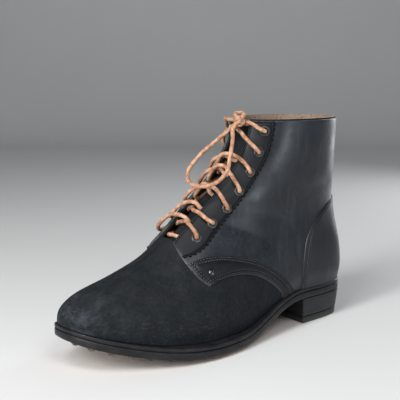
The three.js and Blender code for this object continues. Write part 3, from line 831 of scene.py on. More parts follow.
def sole_leather():
    """Oak-tanned leather: even tan, faint grain and blots, with darker stained strips."""
    f = Finish("sole_leather", Specular_IOR_Level=0.4)
    blot = f.noise(24, 5, 0.6)
    base = f.mixed(f.value(blot, 0.3, 0.72), (0.40, 0.235, 0.142), (0.64, 0.43, 0.285))
    waist = f.math("MULTIPLY", f.value(f.axis(0), 128, 100, 0, 1), f.value(f.noise(11, 4), 0.35, 0.62))
    base = f.mixed(f.math("MULTIPLY", waist, 0.75), base, (0.215, 0.105, 0.055))
    fine = f.noise(1.3, 6, 0.7)
    base = f.mixed(f.value(fine, 0.55, 0.8, 0, 0.5), base, (0.28, 0.15, 0.09))
    f.colour(f.mixed(f.value(f.noise(0.5, 3), 0.6, 0.8, 0, 0.45), base, (0.75, 0.55, 0.39)))
    f.roughness(f.value(blot, 0.3, 0.7, 0.42, 0.62))
    f.bump(fine, 0.1, 0.6)
    f.bump(f.noise(14, 3), 0.3, 0.4)
    return f.material


def heel_leather():
    """The top piece: reddish tan, darker in the strip at its breast."""
    f = Finish("heel_leather", Specular_IOR_Level=0.4)
    base = f.mixed(f.value(f.noise(15, 5), 0.3, 0.7), (0.40, 0.175, 0.10), (0.60, 0.33, 0.205))
    breast = f.value(f.axis(0), 24, 29)
    base = f.mixed(f.math("MULTIPLY", breast, 0.8), base, (0.13, 0.055, 0.035))
    f.colour(f.mixed(f.value(f.noise(1.6, 6, 0.7), 0.55, 0.8, 0, 0.6), base, (0.30, 0.13, 0.08)))
    f.roughness(f.value(f.noise(6, 4), 0.3, 0.7, 0.42, 0.6))
    f.bump(f.noise(1.0, 5), 0.12, 0.6)
    return f.material


def edge_black():
    """Inked and waxed sole edge, with the fine layers of its leather."""
    f = Finish("sole_edge", Specular_IOR_Level=0.28)
    layers = f.noise(1.2, 4, 0.6, at=f.stretched(0.12, 0.12, 2.4))
    base = f.mixed(f.value(f.noise(8, 4), 0.3, 0.7), (0.006, 0.006, 0.008), (0.014, 0.014, 0.015))
    base = f.mixed(f.value(layers, 0.58, 0.75, 0, 0.3), base, (0.034, 0.032, 0.030))
    heel = f.math("MULTIPLY", f.value(f.axis(0), 34, 28), f.value(f.axis(2), 24, 18))
    base = f.mixed(f.math("MULTIPLY", heel, 0.6), base, (0.019, 0.021, 0.022))
    foot = f.math("MULTIPLY", f.value(f.axis(2), 5, 0.8), f.value(f.noise(2.2, 5), 0.35, 0.65, 0.2, 1))
    base = f.mixed(f.math("MULTIPLY", foot, 0.6), base, (0.105, 0.090, 0.072))
    f.colour(f.mixed(f.math("MULTIPLY", f.wear_and_highlight_mask(), 0.5), base, (0.12, 0.105, 0.09)))
    f.roughness(f.value(layers, 0.3, 0.7, 0.36, 0.6))
    f.bump(layers, 0.15, 0.7)
    return f.material


def lining():
    """Tan lining, with painted shade: darker lower down inside the boot, paler and spotted where it shows
    at the collar.
    """
    f = Finish("lining_leather", Specular_IOR_Level=0.3)
    base = f.mixed(f.value(f.noise(12, 4), 0.3, 0.7), (0.085, 0.057, 0.038), (0.16, 0.112, 0.078))
    # Painted shade: the lining is dark below and turns paler towards the collar, where light falls into
    # the boot.
    base = f.mixed(f.value(f.axis(2), 160, 177, 0, 0.85), base, (0.33, 0.24, 0.175))
    base = f.mixed(f.value(f.noise(2.0, 5, 0.7), 0.5, 0.66, 0, 0.75), base, (0.055, 0.040, 0.031))
    f.colour(f.mixed(f.value(f.noise(0.8, 5), 0.5, 0.8, 0, 0.5), base, (0.06, 0.040, 0.028)))
    f.roughness(f.value(f.noise(2, 3), 0.3, 0.7, 0.6, 0.8))
    f.bump(f.noise(0.7, 5), 0.1, 0.6)
    return f.material


def raw_edge():
    """The collar's cut edge: natural leather between the blacked outside and the lining."""
    f = Finish("raw_edge_leather", Specular_IOR_Level=0.3)
    base = f.mixed(f.value(f.noise(3.2, 4), 0.35, 0.65), (0.17, 0.120, 0.085), (0.60, 0.47, 0.36))
    f.colour(f.mixed(f.value(f.noise(0.9, 4), 0.52, 0.70, 0, 0.8), base, (0.060, 0.042, 0.031)))
    f.roughness(f.value(f.noise(1.2, 3), 0.3, 0.7, 0.65, 0.85))
    f.bump(f.noise(0.6, 4), 0.2, 0.8)
    return f.material


def steel(name, dark, bright):
    """Forged steel: dull grey with oxide in the hollows and bright rubbed tops."""
    f = Finish(name, Metallic=1.0)
    base = f.mixed(f.value(f.noise(2.4, 5), 0.35, 0.7), dark, bright)
    f.colour(f.mixed(f.value(f.noise(0.8, 4), 0.58, 0.78, 0, 0.7), base, (0.10, 0.085, 0.070)))
    f.roughness(f.value(f.noise(1.3, 4), 0.3, 0.7, 0.26, 0.48))
    f.bump(f.noise(0.9, 4), 0.12, 0.5)
    return f.material


def enamel():
    """Black enamelled eyelets, rubbed to bare metal in spots of the rim, with a painted highlight along
    its crown.
    """
    f = Finish("black_enamel", Specular_IOR_Level=0.5)
    chips = f.value(f.noise(3.0, 3), 0.4, 0.7, 0.2, 1)
    # Grey spots on the rim's crown: partly chipped enamel, partly a painted highlight.
    rub_and_highlight = f.math("MULTIPLY", f.wear_and_highlight_mask(), chips)
    f.colour(f.mixed(rub_and_highlight, (0.004, 0.005, 0.006), (0.10, 0.105, 0.11)))
    f.roughness(f.value(chips, 0, 1, 0.34, 0.5))
    f.bump(f.noise(0.8, 3), 0.04, 0.5)
    return f.material


SMOOTH = smooth_leather("smooth_black_leather", 0.42, 0.30, 1.05, 0.10)
OVERLAY = smooth_leather("black_overlay_leather", 0.26, 0.40, 0.4, 0.08)
COUNTER = smooth_leather("counter_leather", 0.40, 0.32, 0.9, 0.006)
ROUGH, LACE_HIDE = rough_leather(), lace_leather()
THREAD, RUBBED = thread(), lifted_thread()
SOLE, HEEL, EDGE, LINING, RAW = sole_leather(), heel_leather(), edge_black(), lining(), raw_edge()
STEEL = steel("steel", (0.055, 0.050, 0.044), (0.22, 0.205, 0.185))
DARK_STEEL = steel("dark_steel", (0.045, 0.045, 0.048), (0.16, 0.16, 0.165))
ENAMEL = enamel()

# ---------------------------------------------------------------- camera, then the free cords

AZIMUTH, ELEVATION, DISTANCE = math.radians(140.2), math.radians(9.0), 661.7
TARGET = Vector((0.1253, 0, 0.1174))
SENSOR_WIDTH, FOCAL_LENGTH = 36.0, 72.1


def make_camera():
    data = bpy.data.cameras.new("camera")
    data.sensor_width, data.lens = SENSOR_WIDTH, FOCAL_LENGTH
    camera = bpy.data.objects.new("camera", data)
    bpy.context.scene.collection.objects.link(camera)
    back = Vector((math.sin(AZIMUTH) * math.cos(ELEVATION), -math.cos(AZIMUTH) * math.cos(ELEVATION),
                   math.sin(ELEVATION)))
    camera.location = TARGET + back * DISTANCE * MM
    camera.rotation_mode = "QUATERNION"
    camera.rotation_quaternion = (-back).to_track_quat("-Z", "Y")
    bpy.context.scene.camera = camera


make_camera()


def bow_loop(name, points, node, seed):
    """A loop of the bow: it leaves the knot, hangs free and goes back into it."""
    line = spline([KNOT_CENTRE, *points, KNOT_CENTRE], 40 * len(points))
    path = evenly(line, int(lengths(line)[-1] / 0.9))
    points, faces = tube(path, LACE / 2, seed=seed)
    loop = build(name, points, faces, [LACE_HIDE], merge=0)
    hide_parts(node)


KNOT_REACH = (0.8432, 1.36, 1.36)
WRAP_REACH = (2.2, 1.3, 3.1)


def knot():
    """The bow's knot: a thong tied on itself, and the turn that holds both loops."""
    turn = np.linspace(0, 2 * math.pi, 150)
    wide, deep, high = KNOT_REACH
    tied = np.stack([
        wide * (np.sin(turn) + 2 * np.sin(2 * turn)), deep * (np.cos(turn) - 2 * np.cos(2 * turn)),
        -high * np.sin(3 * turn)], -1) + KNOT_CENTRE
    wide, deep, high = WRAP_REACH
    wrap = np.stack([
        wide * np.cos(turn), deep * np.sin(2 * turn), high * np.sin(turn)], -1) + KNOT_CENTRE
    points, faces = joined([tube(tied[:-1], LACE / 2, seed=5), tube(wrap[:-1], LACE / 2 * 0.95, seed=8)])
    piece = build("bow_knot_tied", points, faces, [LACE_HIDE], merge=0)
    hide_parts("bow_knot")


bow_loop("bow_long_loop_thong", LONG_LOOP, "bow_long_loop", 1)
bow_loop("bow_small_loop_thong", SMALL_LOOP, "bow_small_loop", 3)
knot()

# ---------------------------------------------------------------- the upper

COLLAR_RISE = 0.9
COLLAR_CUT = 0.5
VAMP_COLUMNS = 100
COLLAR_COLUMNS = 60


def throat_base(side):
    """Height of the throat's lower corner."""
    z = np.linspace(70, 95, 2501)
    inside = half_width(side, np.full_like(z, THROAT_X), z) > throat_half(z)
    return float(z[inside].max())


THROAT_BASE = {side: throat_base(side) for side in (OUTER, INNER)}
EYELETS = {}
for side_name, side_sign in (("outer", OUTER), ("inner", INNER)):
    for row_number in range(EYELET_ROWS):
        low_corner, high_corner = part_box(f"eyelet_{side_name}_{row_number + 1}")
        centre = (low_corner + high_corner) / 2 / MM
        EYELETS[side_sign, row_number] = np.array([centre.x + HEEL_CENTRE_X, centre.z])


def facing_line(side, low=None, high=COLLAR_Z, back=0.0):
    z = np.linspace(low or THROAT_BASE[side], high, 120)
    return np.stack([facing_x(side, z) - back, z], -1)


def back_line(low, high):
    z = np.linspace(low, high, 160)
    return np.stack([back_x(z), z], -1)


def upper_lines(side):
    """Pairs of points of the feather line and of the top line, from toe to back."""
    ridge = ridge_line[ridge_line[:, 0] >= THROAT_X]
    t = np.linspace(0, 1, 101)
    vamp_top = evenly(ridge, 101)
    halves = np.linspace(0, 1, 9)[1:] * throat_half(THROAT_BASE[side])
    z = np.linspace(THROAT_BASE[side], ridge[-1, 1], 2000)
    width = half_width(side, np.full_like(z, THROAT_X), z)
    base_top = np.stack([np.full(8, THROAT_X), np.interp(halves, width[::-1], z[::-1])], -1)
    facing_top = evenly(facing_line(side, high=COLLAR_Z + COLLAR_RISE), 91)[1:]
    s = np.sin(np.linspace(0, math.pi / 2, 61))[1:]
    collar_z = COLLAR_Z + COLLAR_RISE
    corner = facing_top[-1, 0]
    collar_top = np.stack([mix(corner, float(back_x(collar_z)), s), np.full(60, collar_z)], -1)
    feet = np.concatenate([
        UPPER_TIP_X - (UPPER_TIP_X - VAMP_FOOT_X) * (1 - np.cos(t * math.pi / 2)),
        np.linspace(VAMP_FOOT_X, FACING_FOOT_X, 9)[1:],
        np.linspace(FACING_FOOT_X, COLLAR_FOOT_X, 91)[1:],
        mix(COLLAR_FOOT_X, float(back_x(feather_z(0))), s)])
    foot = np.stack([feet, feather_z(feet)], -1)
    return foot, np.vstack([vamp_top, base_top, facing_top, collar_top])


def hole_mask(side, points):
    """Which of a grid's quads the eyelets go through."""
    centres = (points[:-1, :-1] + points[1:, 1:]) / 2
    mask = np.zeros(centres.shape[:2], bool)
    for row in range(EYELET_ROWS):
        x, z = EYELETS[side, row]
        mask |= np.linalg.norm(centres - on_form(side, x, z), axis=-1) < EYELET_HOLE
    return mask


def pierced(points, faces, zones, mask, shape):
    """The shell without the quads of the mask, its holes walled."""
    rows, columns = shape
    quads = (rows - 1) * (columns - 1)
    gone = np.zeros(len(faces), bool)
    gone[:quads] = mask.ravel()
    gone[quads:2 * quads] = mask.ravel()
    index = np.arange(rows * columns).reshape(rows, columns)
    walls = []
    padded = np.pad(mask, 1)
    for j, i in zip(*np.nonzero(mask)):
        around = [((0, -1), index[j, i], index[j + 1, i]), ((0, 1), index[j, i + 1], index[j + 1, i + 1]),
                  ((-1, 0), index[j, i], index[j, i + 1]), ((1, 0), index[j + 1, i], index[j + 1, i + 1])]
        for (dj, di), a, b in around:
            if not padded[j + 1 + dj, i + 1 + di]:
                walls.append([a, b, b + rows * columns, a + rows * columns])
    return (points, np.vstack([faces[~gone], np.array(walls)]),
            np.concatenate([zones[~gone], np.full(len(walls), 0)]))


def share_of_depth(line):
    """Where the points lie between the back line and the instep line."""
    x, z = line[:, 0], line[:, 1]
    return (x - back_x(z)) / (front_x(z) - back_x(z))


def upper_body():
    """The vamp, what lies under the quarters, the raw collar edge and the lining, as one shell."""
    parts, kinds = [], []
    for side in (OUTER, INNER):
        foot, top = upper_lines(side)
        rise = 1 - (1 - np.linspace(0, 1, 72)[:, None]) ** 1.7
        z = mix(foot[:, 1], top[:, 1], rise)
        low, high = share_of_depth(foot), share_of_depth(top)
        along = np.clip(mix(low, high, rise), 0, 1)
        x = back_x(z) + along * (front_x(z) - back_x(z))
        outer = raised(side, x, z, VAMP_LIFT)
        inner = raised(side, x, z, VAMP_LIFT - WALL)
        points, faces, zones = shell(outer, inner)
        columns = outer.shape[1]
        # The toe and the back join the other half, and so does the top row along the instep.
        last_row = np.flatnonzero(zones == 3)
        joins = np.isin(zones, (4, 5))
        joins[last_row[:VAMP_COLUMNS]] = True
        collar = np.zeros(len(zones), bool)
        collar[last_row[columns - 1 - COLLAR_COLUMNS:]] = True
        faces, zones, collar = faces[~joins], zones[~joins], collar[~joins]
        kind = np.where(zones == 1, 1, np.where(collar, 2, 0))
        points, faces, zones = pierced(points, faces, kind, hole_mask(side, outer), outer.shape[:2])
        parts.append((points, faces))
        kinds += zones.tolist()
    points, faces = joined(parts)
    piece = build("upper_body", points, faces, [ROUGH, LINING, RAW], zones=kinds)
    sharpen(piece, 50)
    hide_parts("upper")


def inset(side, line, distance, inside):
    """The line moved over the surface by a distance, towards a point inside."""
    x, z = line[:, 0], line[:, 1]
    here = on_form(side, x, z)
    way = unit(np.gradient(here, axis=0))
    across = np.cross(normal_at(side, x, z), way)
    target = on_form(side, *np.array(inside, float))
    middle = len(line) // 2
    sign = 1 if across[middle] @ (target - here[middle]) > 0 else -1
    moved = here + across * sign * distance
    return moved[:, [0, 2]]


def pierced_panel(name, side, made, material):
    """A panel's piece, with the holes of the eyelets through it."""
    outer, inner, wear_and_highlight, _ = made
    points, faces, zones = shell(outer, inner)
    points, faces, _ = pierced(points, faces, zones, hole_mask(side, outer), outer.shape[:2])
    piece = build(name, points, faces, [material], wear_and_highlight=np.concatenate([wear_and_highlight.ravel()] * 2))
    sharpen(piece, 60)


def quarter(side):
    """The quarter, from the band's front round the throat and the collar to the back."""
    front = spline(BAND_FRONT + [(192, 80), (THROAT_X + 0.3, THROAT_BASE[side])])
    low = QUARTER_FOOT_Z
    bottom = spline(BAND_LOWER + [(70, low), (36, low), (float(back_x(low)), low)])
    high = COLLAR_Z - COLLAR_CUT
    facing = facing_line(side, high=high, back=0.4)
    collar = np.stack([np.linspace(facing[-1, 0], float(back_x(high)), 200)[1:], np.full(199, high)], -1)
    facing[0] = front[-1]
    sides = (CUT_SIDE, CUT_SIDE, CUT_SIDE, PLAIN_SIDE)
    made = panel(side, bottom, np.vstack([facing, collar]), front, back_line(low, high),
                 QUARTER_LIFT, sides, 1.7)
    pierced_panel(f"quarter_{SIDE_NAMES[side]}", side, made, SMOOTH)
    return front


def band(side):
    """The strip along the quarter's lower edge, with two rows of stitches on each edge."""
    centre = (150, 67)
    low = inset(side, spline(BAND_LOWER), 0.7, centre)
    high = spline(BAND_UPPER)
    front = inset(side, spline(BAND_FRONT), 0.7, centre)
    front[0], front[-1] = low[0], high[0]
    right = np.linspace(low[-1], high[-1], 50)
    made = panel(side, low, high, front, right, OVERLAY_LIFT,
                 (STITCHED_SIDE, STITCHED_SIDE, STITCHED_SIDE, PLAIN_SIDE), 1.6)
    panel_piece(f"side_band_{SIDE_NAMES[side]}", [made], OVERLAY)
    return made[3]


def stay(side):
    """The facing's reinforcement under the eyelets, its rear edge whipped with zigzag stitches."""
    corner = (THROAT_X, THROAT_BASE[side])
    high = COLLAR_Z - COLLAR_CUT
    front = inset(side, spline([(191.4, 77), (191.7, 83), corner]), 0.6, (175, 86))
    rear = spline(STAY_EDGE)
    rear = rear[rear[:, 1] <= high]
    facing = facing_line(side, high=high)
    facing[0] = front[-1]
    front[0] = rear[0]
    top = np.linspace(rear[-1], facing[-1], 60)
    made = panel(side, front, top, rear, facing, OVERLAY_LIFT,
                 (CUT_SIDE, ONE_ROW_SIDE, ONE_ROW_SIDE, ONE_ROW_SIDE), 1.3)
    pierced_panel(f"eyelet_stay_{SIDE_NAMES[side]}", side, made, OVERLAY)
    top_row, _, facing_row = made[3]
    return top_row, surface_row(side, rear, OVERLAY_LIFT * 0.7), facing_row


def counter():
    """The heel counter's cover, one piece round the back."""
    halves = []
    low, high = COUNTER_FOOT_Z, COUNTER_TOP_Z
    for side in (OUTER, INNER):
        seam = spline(COUNTER_SEAM + COUNTER_TOP + [(float(back_x(high)), high)])
        bottom = np.stack([np.linspace(seam[0, 0], float(back_x(low)), 200), np.full(200, low)], -1)
        apex = np.repeat(seam[-1:], 4, axis=0)
        halves.append(panel(side, bottom, apex, seam, back_line(low, high), OVERLAY_LIFT,
                            (PLAIN_SIDE, PLAIN_SIDE, STITCHED_SIDE, PLAIN_SIDE), 1.7))
    panel_piece("heel_counter_cover", halves, COUNTER)
    return [half[3] for half in halves]


def surface_row(side, line, lift):
    """Points and normals of a row of stitches along a line of the side view."""
    line = evenly(line, 300)
    x, z = line[:, 0], line[:, 1]
    return raised(side, x, z, lift), normal_at(side, x, z)


def upper_stitches(side, front, band_rows, stay_rows, counter_rows):
    name = SIDE_NAMES[side]
    stitching(f"stitches_band_{name}", band_rows, RUBBED)
    top, whipped, straight = stay_rows
    stitching(f"stitches_stay_{name}", [whipped], THREAD, 2.2, (3.4, 1.3, 1.5), 1.0)
    edge = surface_row(side, inset(side, front[150:], 1.9, (170, 80)), QUARTER_LIFT)
    stitching(f"stitches_facing_{name}", [straight, edge], RUBBED, 2.2, (1.7, 0.85, 0.8))
    stitching(f"stitches_stay_top_{name}", [top], THREAD, 2.2, (2.0, 1.1, 1.0))
    stitching(f"stitches_counter_{name}", counter_rows, THREAD)


upper_body()
counter_seams = counter()
for side_sign, counter_rows in zip((OUTER, INNER), counter_seams):
    front_edge = quarter(side_sign)
    upper_stitches(side_sign, front_edge, band(side_sign), stay(side_sign), counter_rows)

# ---------------------------------------------------------------- tongue


def tongue():
    """A leaf under the throat, sewn in beneath the vamp and a little proud at its top."""
    heights = np.linspace(TONGUE_FOOT_Z, TONGUE_TOP_Z, 66)
    columns = np.linspace(1, -1, 33)
    outer = []
    for z in heights:
        half = mix(TONGUE_HALF_LOW, TONGUE_HALF_HIGH, float(smooth(80, 170, z)))
        depth = WALL + mix(1, 5.2, float(smooth(72, 88, z)))
        outer.append([off_instep(OUTER, z, c * half, -depth) for c in columns])
    outer = np.array(outer)
    up, over = np.gradient(outer, axis=0), np.gradient(outer, axis=1)
    normals = unit(np.cross(up, over))
    if normals[35, 16, 0] < 0:
        normals = -normals
    ripple = 0.25 * np.sin(heights / 6.3)[:, None, None] * np.cos(columns * 2.2)[None, :, None]
    # It thins towards its sides and its top.
    edge = np.minimum(1, (1 - np.abs(columns)) * 14)[None, :, None] * 0.8 + 0.2
    top = np.minimum(1, (TONGUE_TOP_Z + 0.2 - heights) / 2)[:, None, None] * 0.8 + 0.2
    thick = TONGUE_THICK * np.minimum(edge, top)
    points, faces, zones = shell(outer + normals * ripple, outer - normals * thick)
    piece = build("tongue_leaf", points, faces, [ROUGH, LINING],
                  zones=np.where(zones == 1, 1, 0))
    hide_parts("tongue")


tongue()

# ---------------------------------------------------------------- eyelets, rivets and lace

EYELET_PROFILE = [
    (2.2, -3.4), (2.2, 1.0), (2.35, 1.3), (2.7, 1.5), (3.3, 1.5), (3.9, 1.25), (4.3, 0.8),
    (4.4, 0.3), (4.3, -0.1), (2.85, -0.1), (2.85, -3.4), (2.2, -3.4),
]
# How much grey each ring of the profile gets, most on the rim's outer crown: rubbed enamel and a painted
# highlight.
EYELET_WEAR_AND_HIGHLIGHT = [0, 0, 0.1, 0.1, 0.2, 0.7, 1, 0.5, 0, 0, 0, 0]


def seat_of(side, row):
    x, z = EYELETS[side, row]
    return on_form(side, x, z), normal_at(side, x, z)


def eyelets():
    for side in (OUTER, INNER):
        for row in range(EYELET_ROWS):
            seat, normal = seat_of(side, row)
            points, faces = lathe(EYELET_PROFILE, seat + normal * OVERLAY_LIFT, normal)
            name = f"{SIDE_NAMES[side]}_{row + 1}"
            piece = build(f"eyelet_ring_{name}", points, faces, [ENAMEL],
                          wear_and_highlight=np.repeat(EYELET_WEAR_AND_HIGHLIGHT, 24))
            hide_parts(f"eyelet_{name}")


def rivets():
    """The steel rivet at the front of each band."""
    profile = [(0.01, -0.3), (2.7, -0.3), (2.75, 0.25), (2.5, 0.8), (1.9, 1.25), (1.0, 1.5), (0.01, 1.58)]
    for side in (OUTER, INNER):
        seat, normal = on_form(side, *RIVET_AT), normal_at(side, *RIVET_AT)
        points, faces = lathe(profile, seat + normal * OVERLAY_LIFT, normal, 28)
        piece = build(f"rivet_head_{SIDE_NAMES[side]}", points, faces, [DARK_STEEL])
        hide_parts(f"rivet_{SIDE_NAMES[side]}")


# The lace over the throat: its distance up the instep line from its own eyelet at five half
# widths, counted to its own side, and the height of its centre over the form there.
LACE_UNDER = -WALL - 2.6
STRAND_HALVES = (19.5, 14.0, 7.5, 0.0, -6.0)
ON_TOP = (4.5, 3.9, 4.2, 4.2, 0.2)
OVER_EDGE = (4.5, 4.2, 3.7, 0.4, -2.8)
ARCHED = (4.5, 3.9, 4.2, 4.2, 2.6)
STANDING = (5.0, 6.5, 6.0, 4.6, 2.6)
CROSSED = (4.5, 3.8, -0.2, -4.6, -5.2)
TO_KNOT = (4.5, 3.9, 3.4, 1.0, 0.5)
BEHIND_KNOT = (4.5, 2.6, -4.0, -4.6, -5.2)
STRANDS = {
    (OUTER, 0): ((1.6, 3.8, 6.0, 7.0, 7.0), CROSSED),
    (OUTER, 1): ((-0.6, 0.4, 1.6, 3.5, 5.5), CROSSED),
    (OUTER, 2): ((1.6, 4.2, 5.0, 5.0, 0.0), ON_TOP),
    (OUTER, 3): ((2.4, 6.0, 9.3, 7.2, 1.0), ON_TOP),
    (OUTER, 4): ((3.1, 5.6, 6.2, 4.3, -2.0), ON_TOP),
    (OUTER, 5): ((3.0, 7.0, 12.0, 15.0, 15.0), TO_KNOT),
    (INNER, 0): ((-5.0, -4.0, 1.5, 3.3, 3.8), STANDING),
    (INNER, 1): ((-6.0, -8.0, -3.5, 0.4, 1.5), ARCHED),
    (INNER, 2): ((-5.5, -6.0, -1.5, 2.0, 0.0), OVER_EDGE),
    (INNER, 3): ((-5.0, -3.5, 0.5, 5.0, 3.0), OVER_EDGE),
    (INNER, 4): ((-6.0, -5.0, -1.5, 2.0, 1.5), OVER_EDGE),
    (INNER, 5): ((3.0, 8.0, 13.0, 16.0, 16.0), BEHIND_KNOT),
}


# The last run, from the top eyelet to the knot: the same three numbers for each point.
RUN_TO_KNOT = ((1.6, 21, 4.6), (4.4, 16.5, 4.0), (5.6, 10.5, 4.0))


def station_of(side, row):
    """The height of the instep line square to an eyelet."""
    away = ridge_line - EYELETS[side, row]
    return float(ridge_line[int(np.hypot(away[:, 0], away[:, 1]).argmin()), 1])


def out_of_eyelet(side, row):
    """The lace's way from under an eyelet out through it."""
    seat, normal = seat_of(side, row)
    return [seat + normal * height for height in (LACE_UNDER, 0.4, 3.4)]


def strand(side, row):
    """From under one eyelet through it and over the throat, then under the other facing."""
    start = station_of(side, row)
    rises, heights = STRANDS[side, row]
    points = out_of_eyelet(side, row)
    points += [off_instep(side, start + up, half, high)
               for up, half, high in zip(rises, STRAND_HALVES, heights)]
    last = start + rises[-1]
    points.append(off_instep(side, last - 0.5, -9.3, mix(heights[-1], LACE_UNDER, 0.5)))
    points.append(off_instep(side, last, -11.8, LACE_UNDER + 0.3))
    points.append(off_instep(side, last, -16.0, LACE_UNDER))
    return points


def lace_half(first):
    """One half of the lace, from the middle of the lowest bar up to the knot."""
    z = seat_of(first, 0)[0][2]
    points = [off_instep(first, z + 4, off, LACE_UNDER) for off in (-2, 9)]
    side = first
    for row in range(EYELET_ROWS - 1):
        points += strand(side, row)
        side = -side
    top_row = EYELET_ROWS - 1
    start = station_of(side, top_row)
    points += out_of_eyelet(side, top_row)
    points += [off_instep(side, start + up, half, high) for up, half, high in RUN_TO_KNOT]
    return points + [np.array(KNOT_CENTRE, float)]


def laces():
    stood_for = {
        OUTER: ["lace_lowest_bar", *[f"lace_crossing_{n}" for n in (1, 3, 5)], "lace_top_outer"],
        INNER: [*[f"lace_crossing_{n}" for n in (2, 4, 6)], "lace_top_inner"],
    }
    for first in (OUTER, INNER):
        points = lace_half(first)
        line = spline(points, 24 * len(points))
        path = evenly(line, int(lengths(line)[-1] / 1.1))
        mesh_points, faces = tube(path, LACE / 2, seed=2 + first)
        piece = build(f"lace_from_{SIDE_NAMES[first]}", mesh_points, faces, [LACE_HIDE],
                      merge=0)
        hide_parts(*stood_for[first])


eyelets()
rivets()
laces()

# ---------------------------------------------------------------- sole and heel


def shrunk(ring, distance):
    """A closed plan outline moved in by a distance."""
    way = unit(np.roll(ring, -1, axis=0) - np.roll(ring, 1, axis=0))
    out = np.stack([way[:, 1], -way[:, 0]], -1)
    area = np.sum(ring[:, 0] * np.roll(ring[:, 1], -1) - np.roll(ring[:, 0], -1) * ring[:, 1])
    return ring - out * distance * np.sign(area)


def even_ring(ring, count):
    return evenly(np.vstack([ring, ring[:1]]), count + 1)[:-1]


def slab(ring, spine, low, high, side_profile, steps=14):
    """A plate with a plan outline: both faces run in to a spine of points, and its side has a
    profile of inset and share of its height. Zones: 1 underside, 0 the rest."""
    rings = []
    for inset_by, share in side_profile:
        r = shrunk(ring, inset_by)
        rings.append(np.column_stack([r, mix(low(r[:, 0]), high(r[:, 0]), share)]))
    first, last = shrunk(ring, side_profile[0][0]), shrunk(ring, side_profile[-1][0])
    under = [mix(first, spine, t) for t in np.linspace(1, 0, steps)[:-1]]
    over = [mix(last, spine, t) for t in np.linspace(0, 1, steps)[1:]]
    under = [np.column_stack([r, low(r[:, 0])]) for r in under]
    over = [np.column_stack([r, high(r[:, 0])]) for r in over]
    points, faces, rows = stacked(under + rings + over)
    return points, faces, np.where(rows < len(under), 1, 0)


def spine_of(ring, middle):
    """The line that a plate's faces run in to, one point for each of the outline's."""
    x = np.clip(ring[:, 0], *SPINE_ENDS)
    return np.column_stack([x, middle(x)])


def sole_middle(x):
    return (sole_y(OUTER, x) + sole_y(INNER, x)) / 2


SPINE_ENDS = (34.0, 238.0)
ROUND_SIDE = [(1.1, 0), (0.35, 0.06), (0, 0.22), (0.1, 0.5), (0, 0.8), (0.35, 0.95), (0.9, 1)]
WELT_SIDE = [(0.8, 0), (0.25, 0.1), (0, 0.35), (0, 0.7), (0.3, 0.94), (0.9, 1)]
INSOLE_SIDE = [(0.4, 0), (0, 0.4), (0.5, 1)]


def sole_plates():
    ring = even_ring(sole_line, 420)
    spine = spine_of(ring, sole_middle)
    points, faces, zones = slab(ring, spine, sole_z, lambda x: sole_z(x) + OUTSOLE_THICK, ROUND_SIDE, 24)
    piece = build("outsole_leather", points, faces, [EDGE, SOLE], zones=zones)
    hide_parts("outsole")
    points, faces, _ = slab(ring, spine, midsole_z, lambda x: midsole_z(x) + MIDSOLE_THICK, WELT_SIDE)
    piece = build("midsole_and_welt", points, faces, [EDGE])
    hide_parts("midsole")


def insole():
    """The inner sole, a little smaller than the upper's plan all round."""
    along = (1 - np.cos(np.linspace(0, math.pi, 120))) / 2
    x = mix(float(back_x(feather_z(0))) + INSOLE_ROOM, UPPER_TIP_X - INSOLE_ROOM, along)
    edges = []
    for side in (OUTER, INNER):
        half = half_width(side, x, feather_z(x)) - INSOLE_ROOM
        edges.append(np.column_stack([x, ridge_y(x) + side * np.maximum(half, 0.05)]))
    ring = even_ring(np.vstack([edges[0], edges[1][::-1]]), 260)
    spine = spine_of(ring, lambda at: sole_middle(at) * 0.9)
    points, faces, _ = slab(ring, spine, feather_z, lambda x: feather_z(x) + INSOLE_THICK, INSOLE_SIDE)
    piece = build("insole_leather", points, faces, [LINING])
    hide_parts("insole")


HEEL_FACE_RINGS = 11
HEEL_TAPER = 0.92


def heel_ring(z, count=200):
    """The heel's plan at a height: the outline, cut by a slightly hollow breast, and tapered."""
    outline = []
    for side in (INNER, OUTER):
        x = HEEL_BREAST_X * (1 - np.cos(np.linspace(0, math.pi / 2, 60)))
        edge = np.column_stack([x, sole_y(side, x)])
        outline.append(edge if side == INNER else edge[::-1])
    y = np.linspace(-30, 30, 30)
    breast = np.column_stack([HEEL_BREAST_X - 2 + y ** 2 / 550, y])
    ring = even_ring(np.vstack([outline[0], breast, outline[1][:-1]]), count)
    taper = mix(HEEL_TAPER, 1, z / HEEL_SEAT_Z)
    return np.column_stack([HEEL_CENTRE_X + (ring[:, 0] - HEEL_CENTRE_X) * taper, ring[:, 1] * taper])


def heel_face(edge, z):
    """Rings that close a face of the heel from its edge to its middle."""
    centre = np.array([HEEL_CENTRE_X, 0])
    return [np.column_stack([mix(edge[:, :2], centre, t), np.full(len(edge), z)])
            for t in np.linspace(0, 1, HEEL_FACE_RINGS + 1)[1:]]


def heel_block(name, low, high, grooves, materials, foot_zone, node):
    """A stack of lifts between two heights: their joints show as fine grooves."""
    profile = [(0.7, 0), (0.15, 0.04), (0, 0.12)]
    for share in grooves:
        profile += [(0, share - 0.04), (0.1, share), (0, share + 0.04)]
    profile += [(0, 0.94), (0.3, 1)]
    stack = []
    for inset_by, share in profile:
        z = mix(low, high, share)
        ring = shrunk(heel_ring(z), inset_by)
        stack.append(np.column_stack([ring, np.full(len(ring), z)]))
    points, faces, rows = stacked(heel_face(stack[0], low)[::-1] + stack + heel_face(stack[-1], high))
    zones = np.where(rows < HEEL_FACE_RINGS, foot_zone, 0)
    piece = build(name, points, faces, materials, zones=zones)
    sharpen(piece, 40)
    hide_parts(node)


# The rings of studs: distance from the edge, count and where each one starts.
STUD_CENTRE = np.array([198.0, 1.0])
STUD_HALF = 51.0
STUD_RINGS = ((10, 21, 143), (21.5, 19, 145), (34, 12, 164))
STUD_LOOSE = ((176, 3), (198, 3), (220, 3), (148, -18), (148, -7), (148, 4), (148, 15), (160, -3))


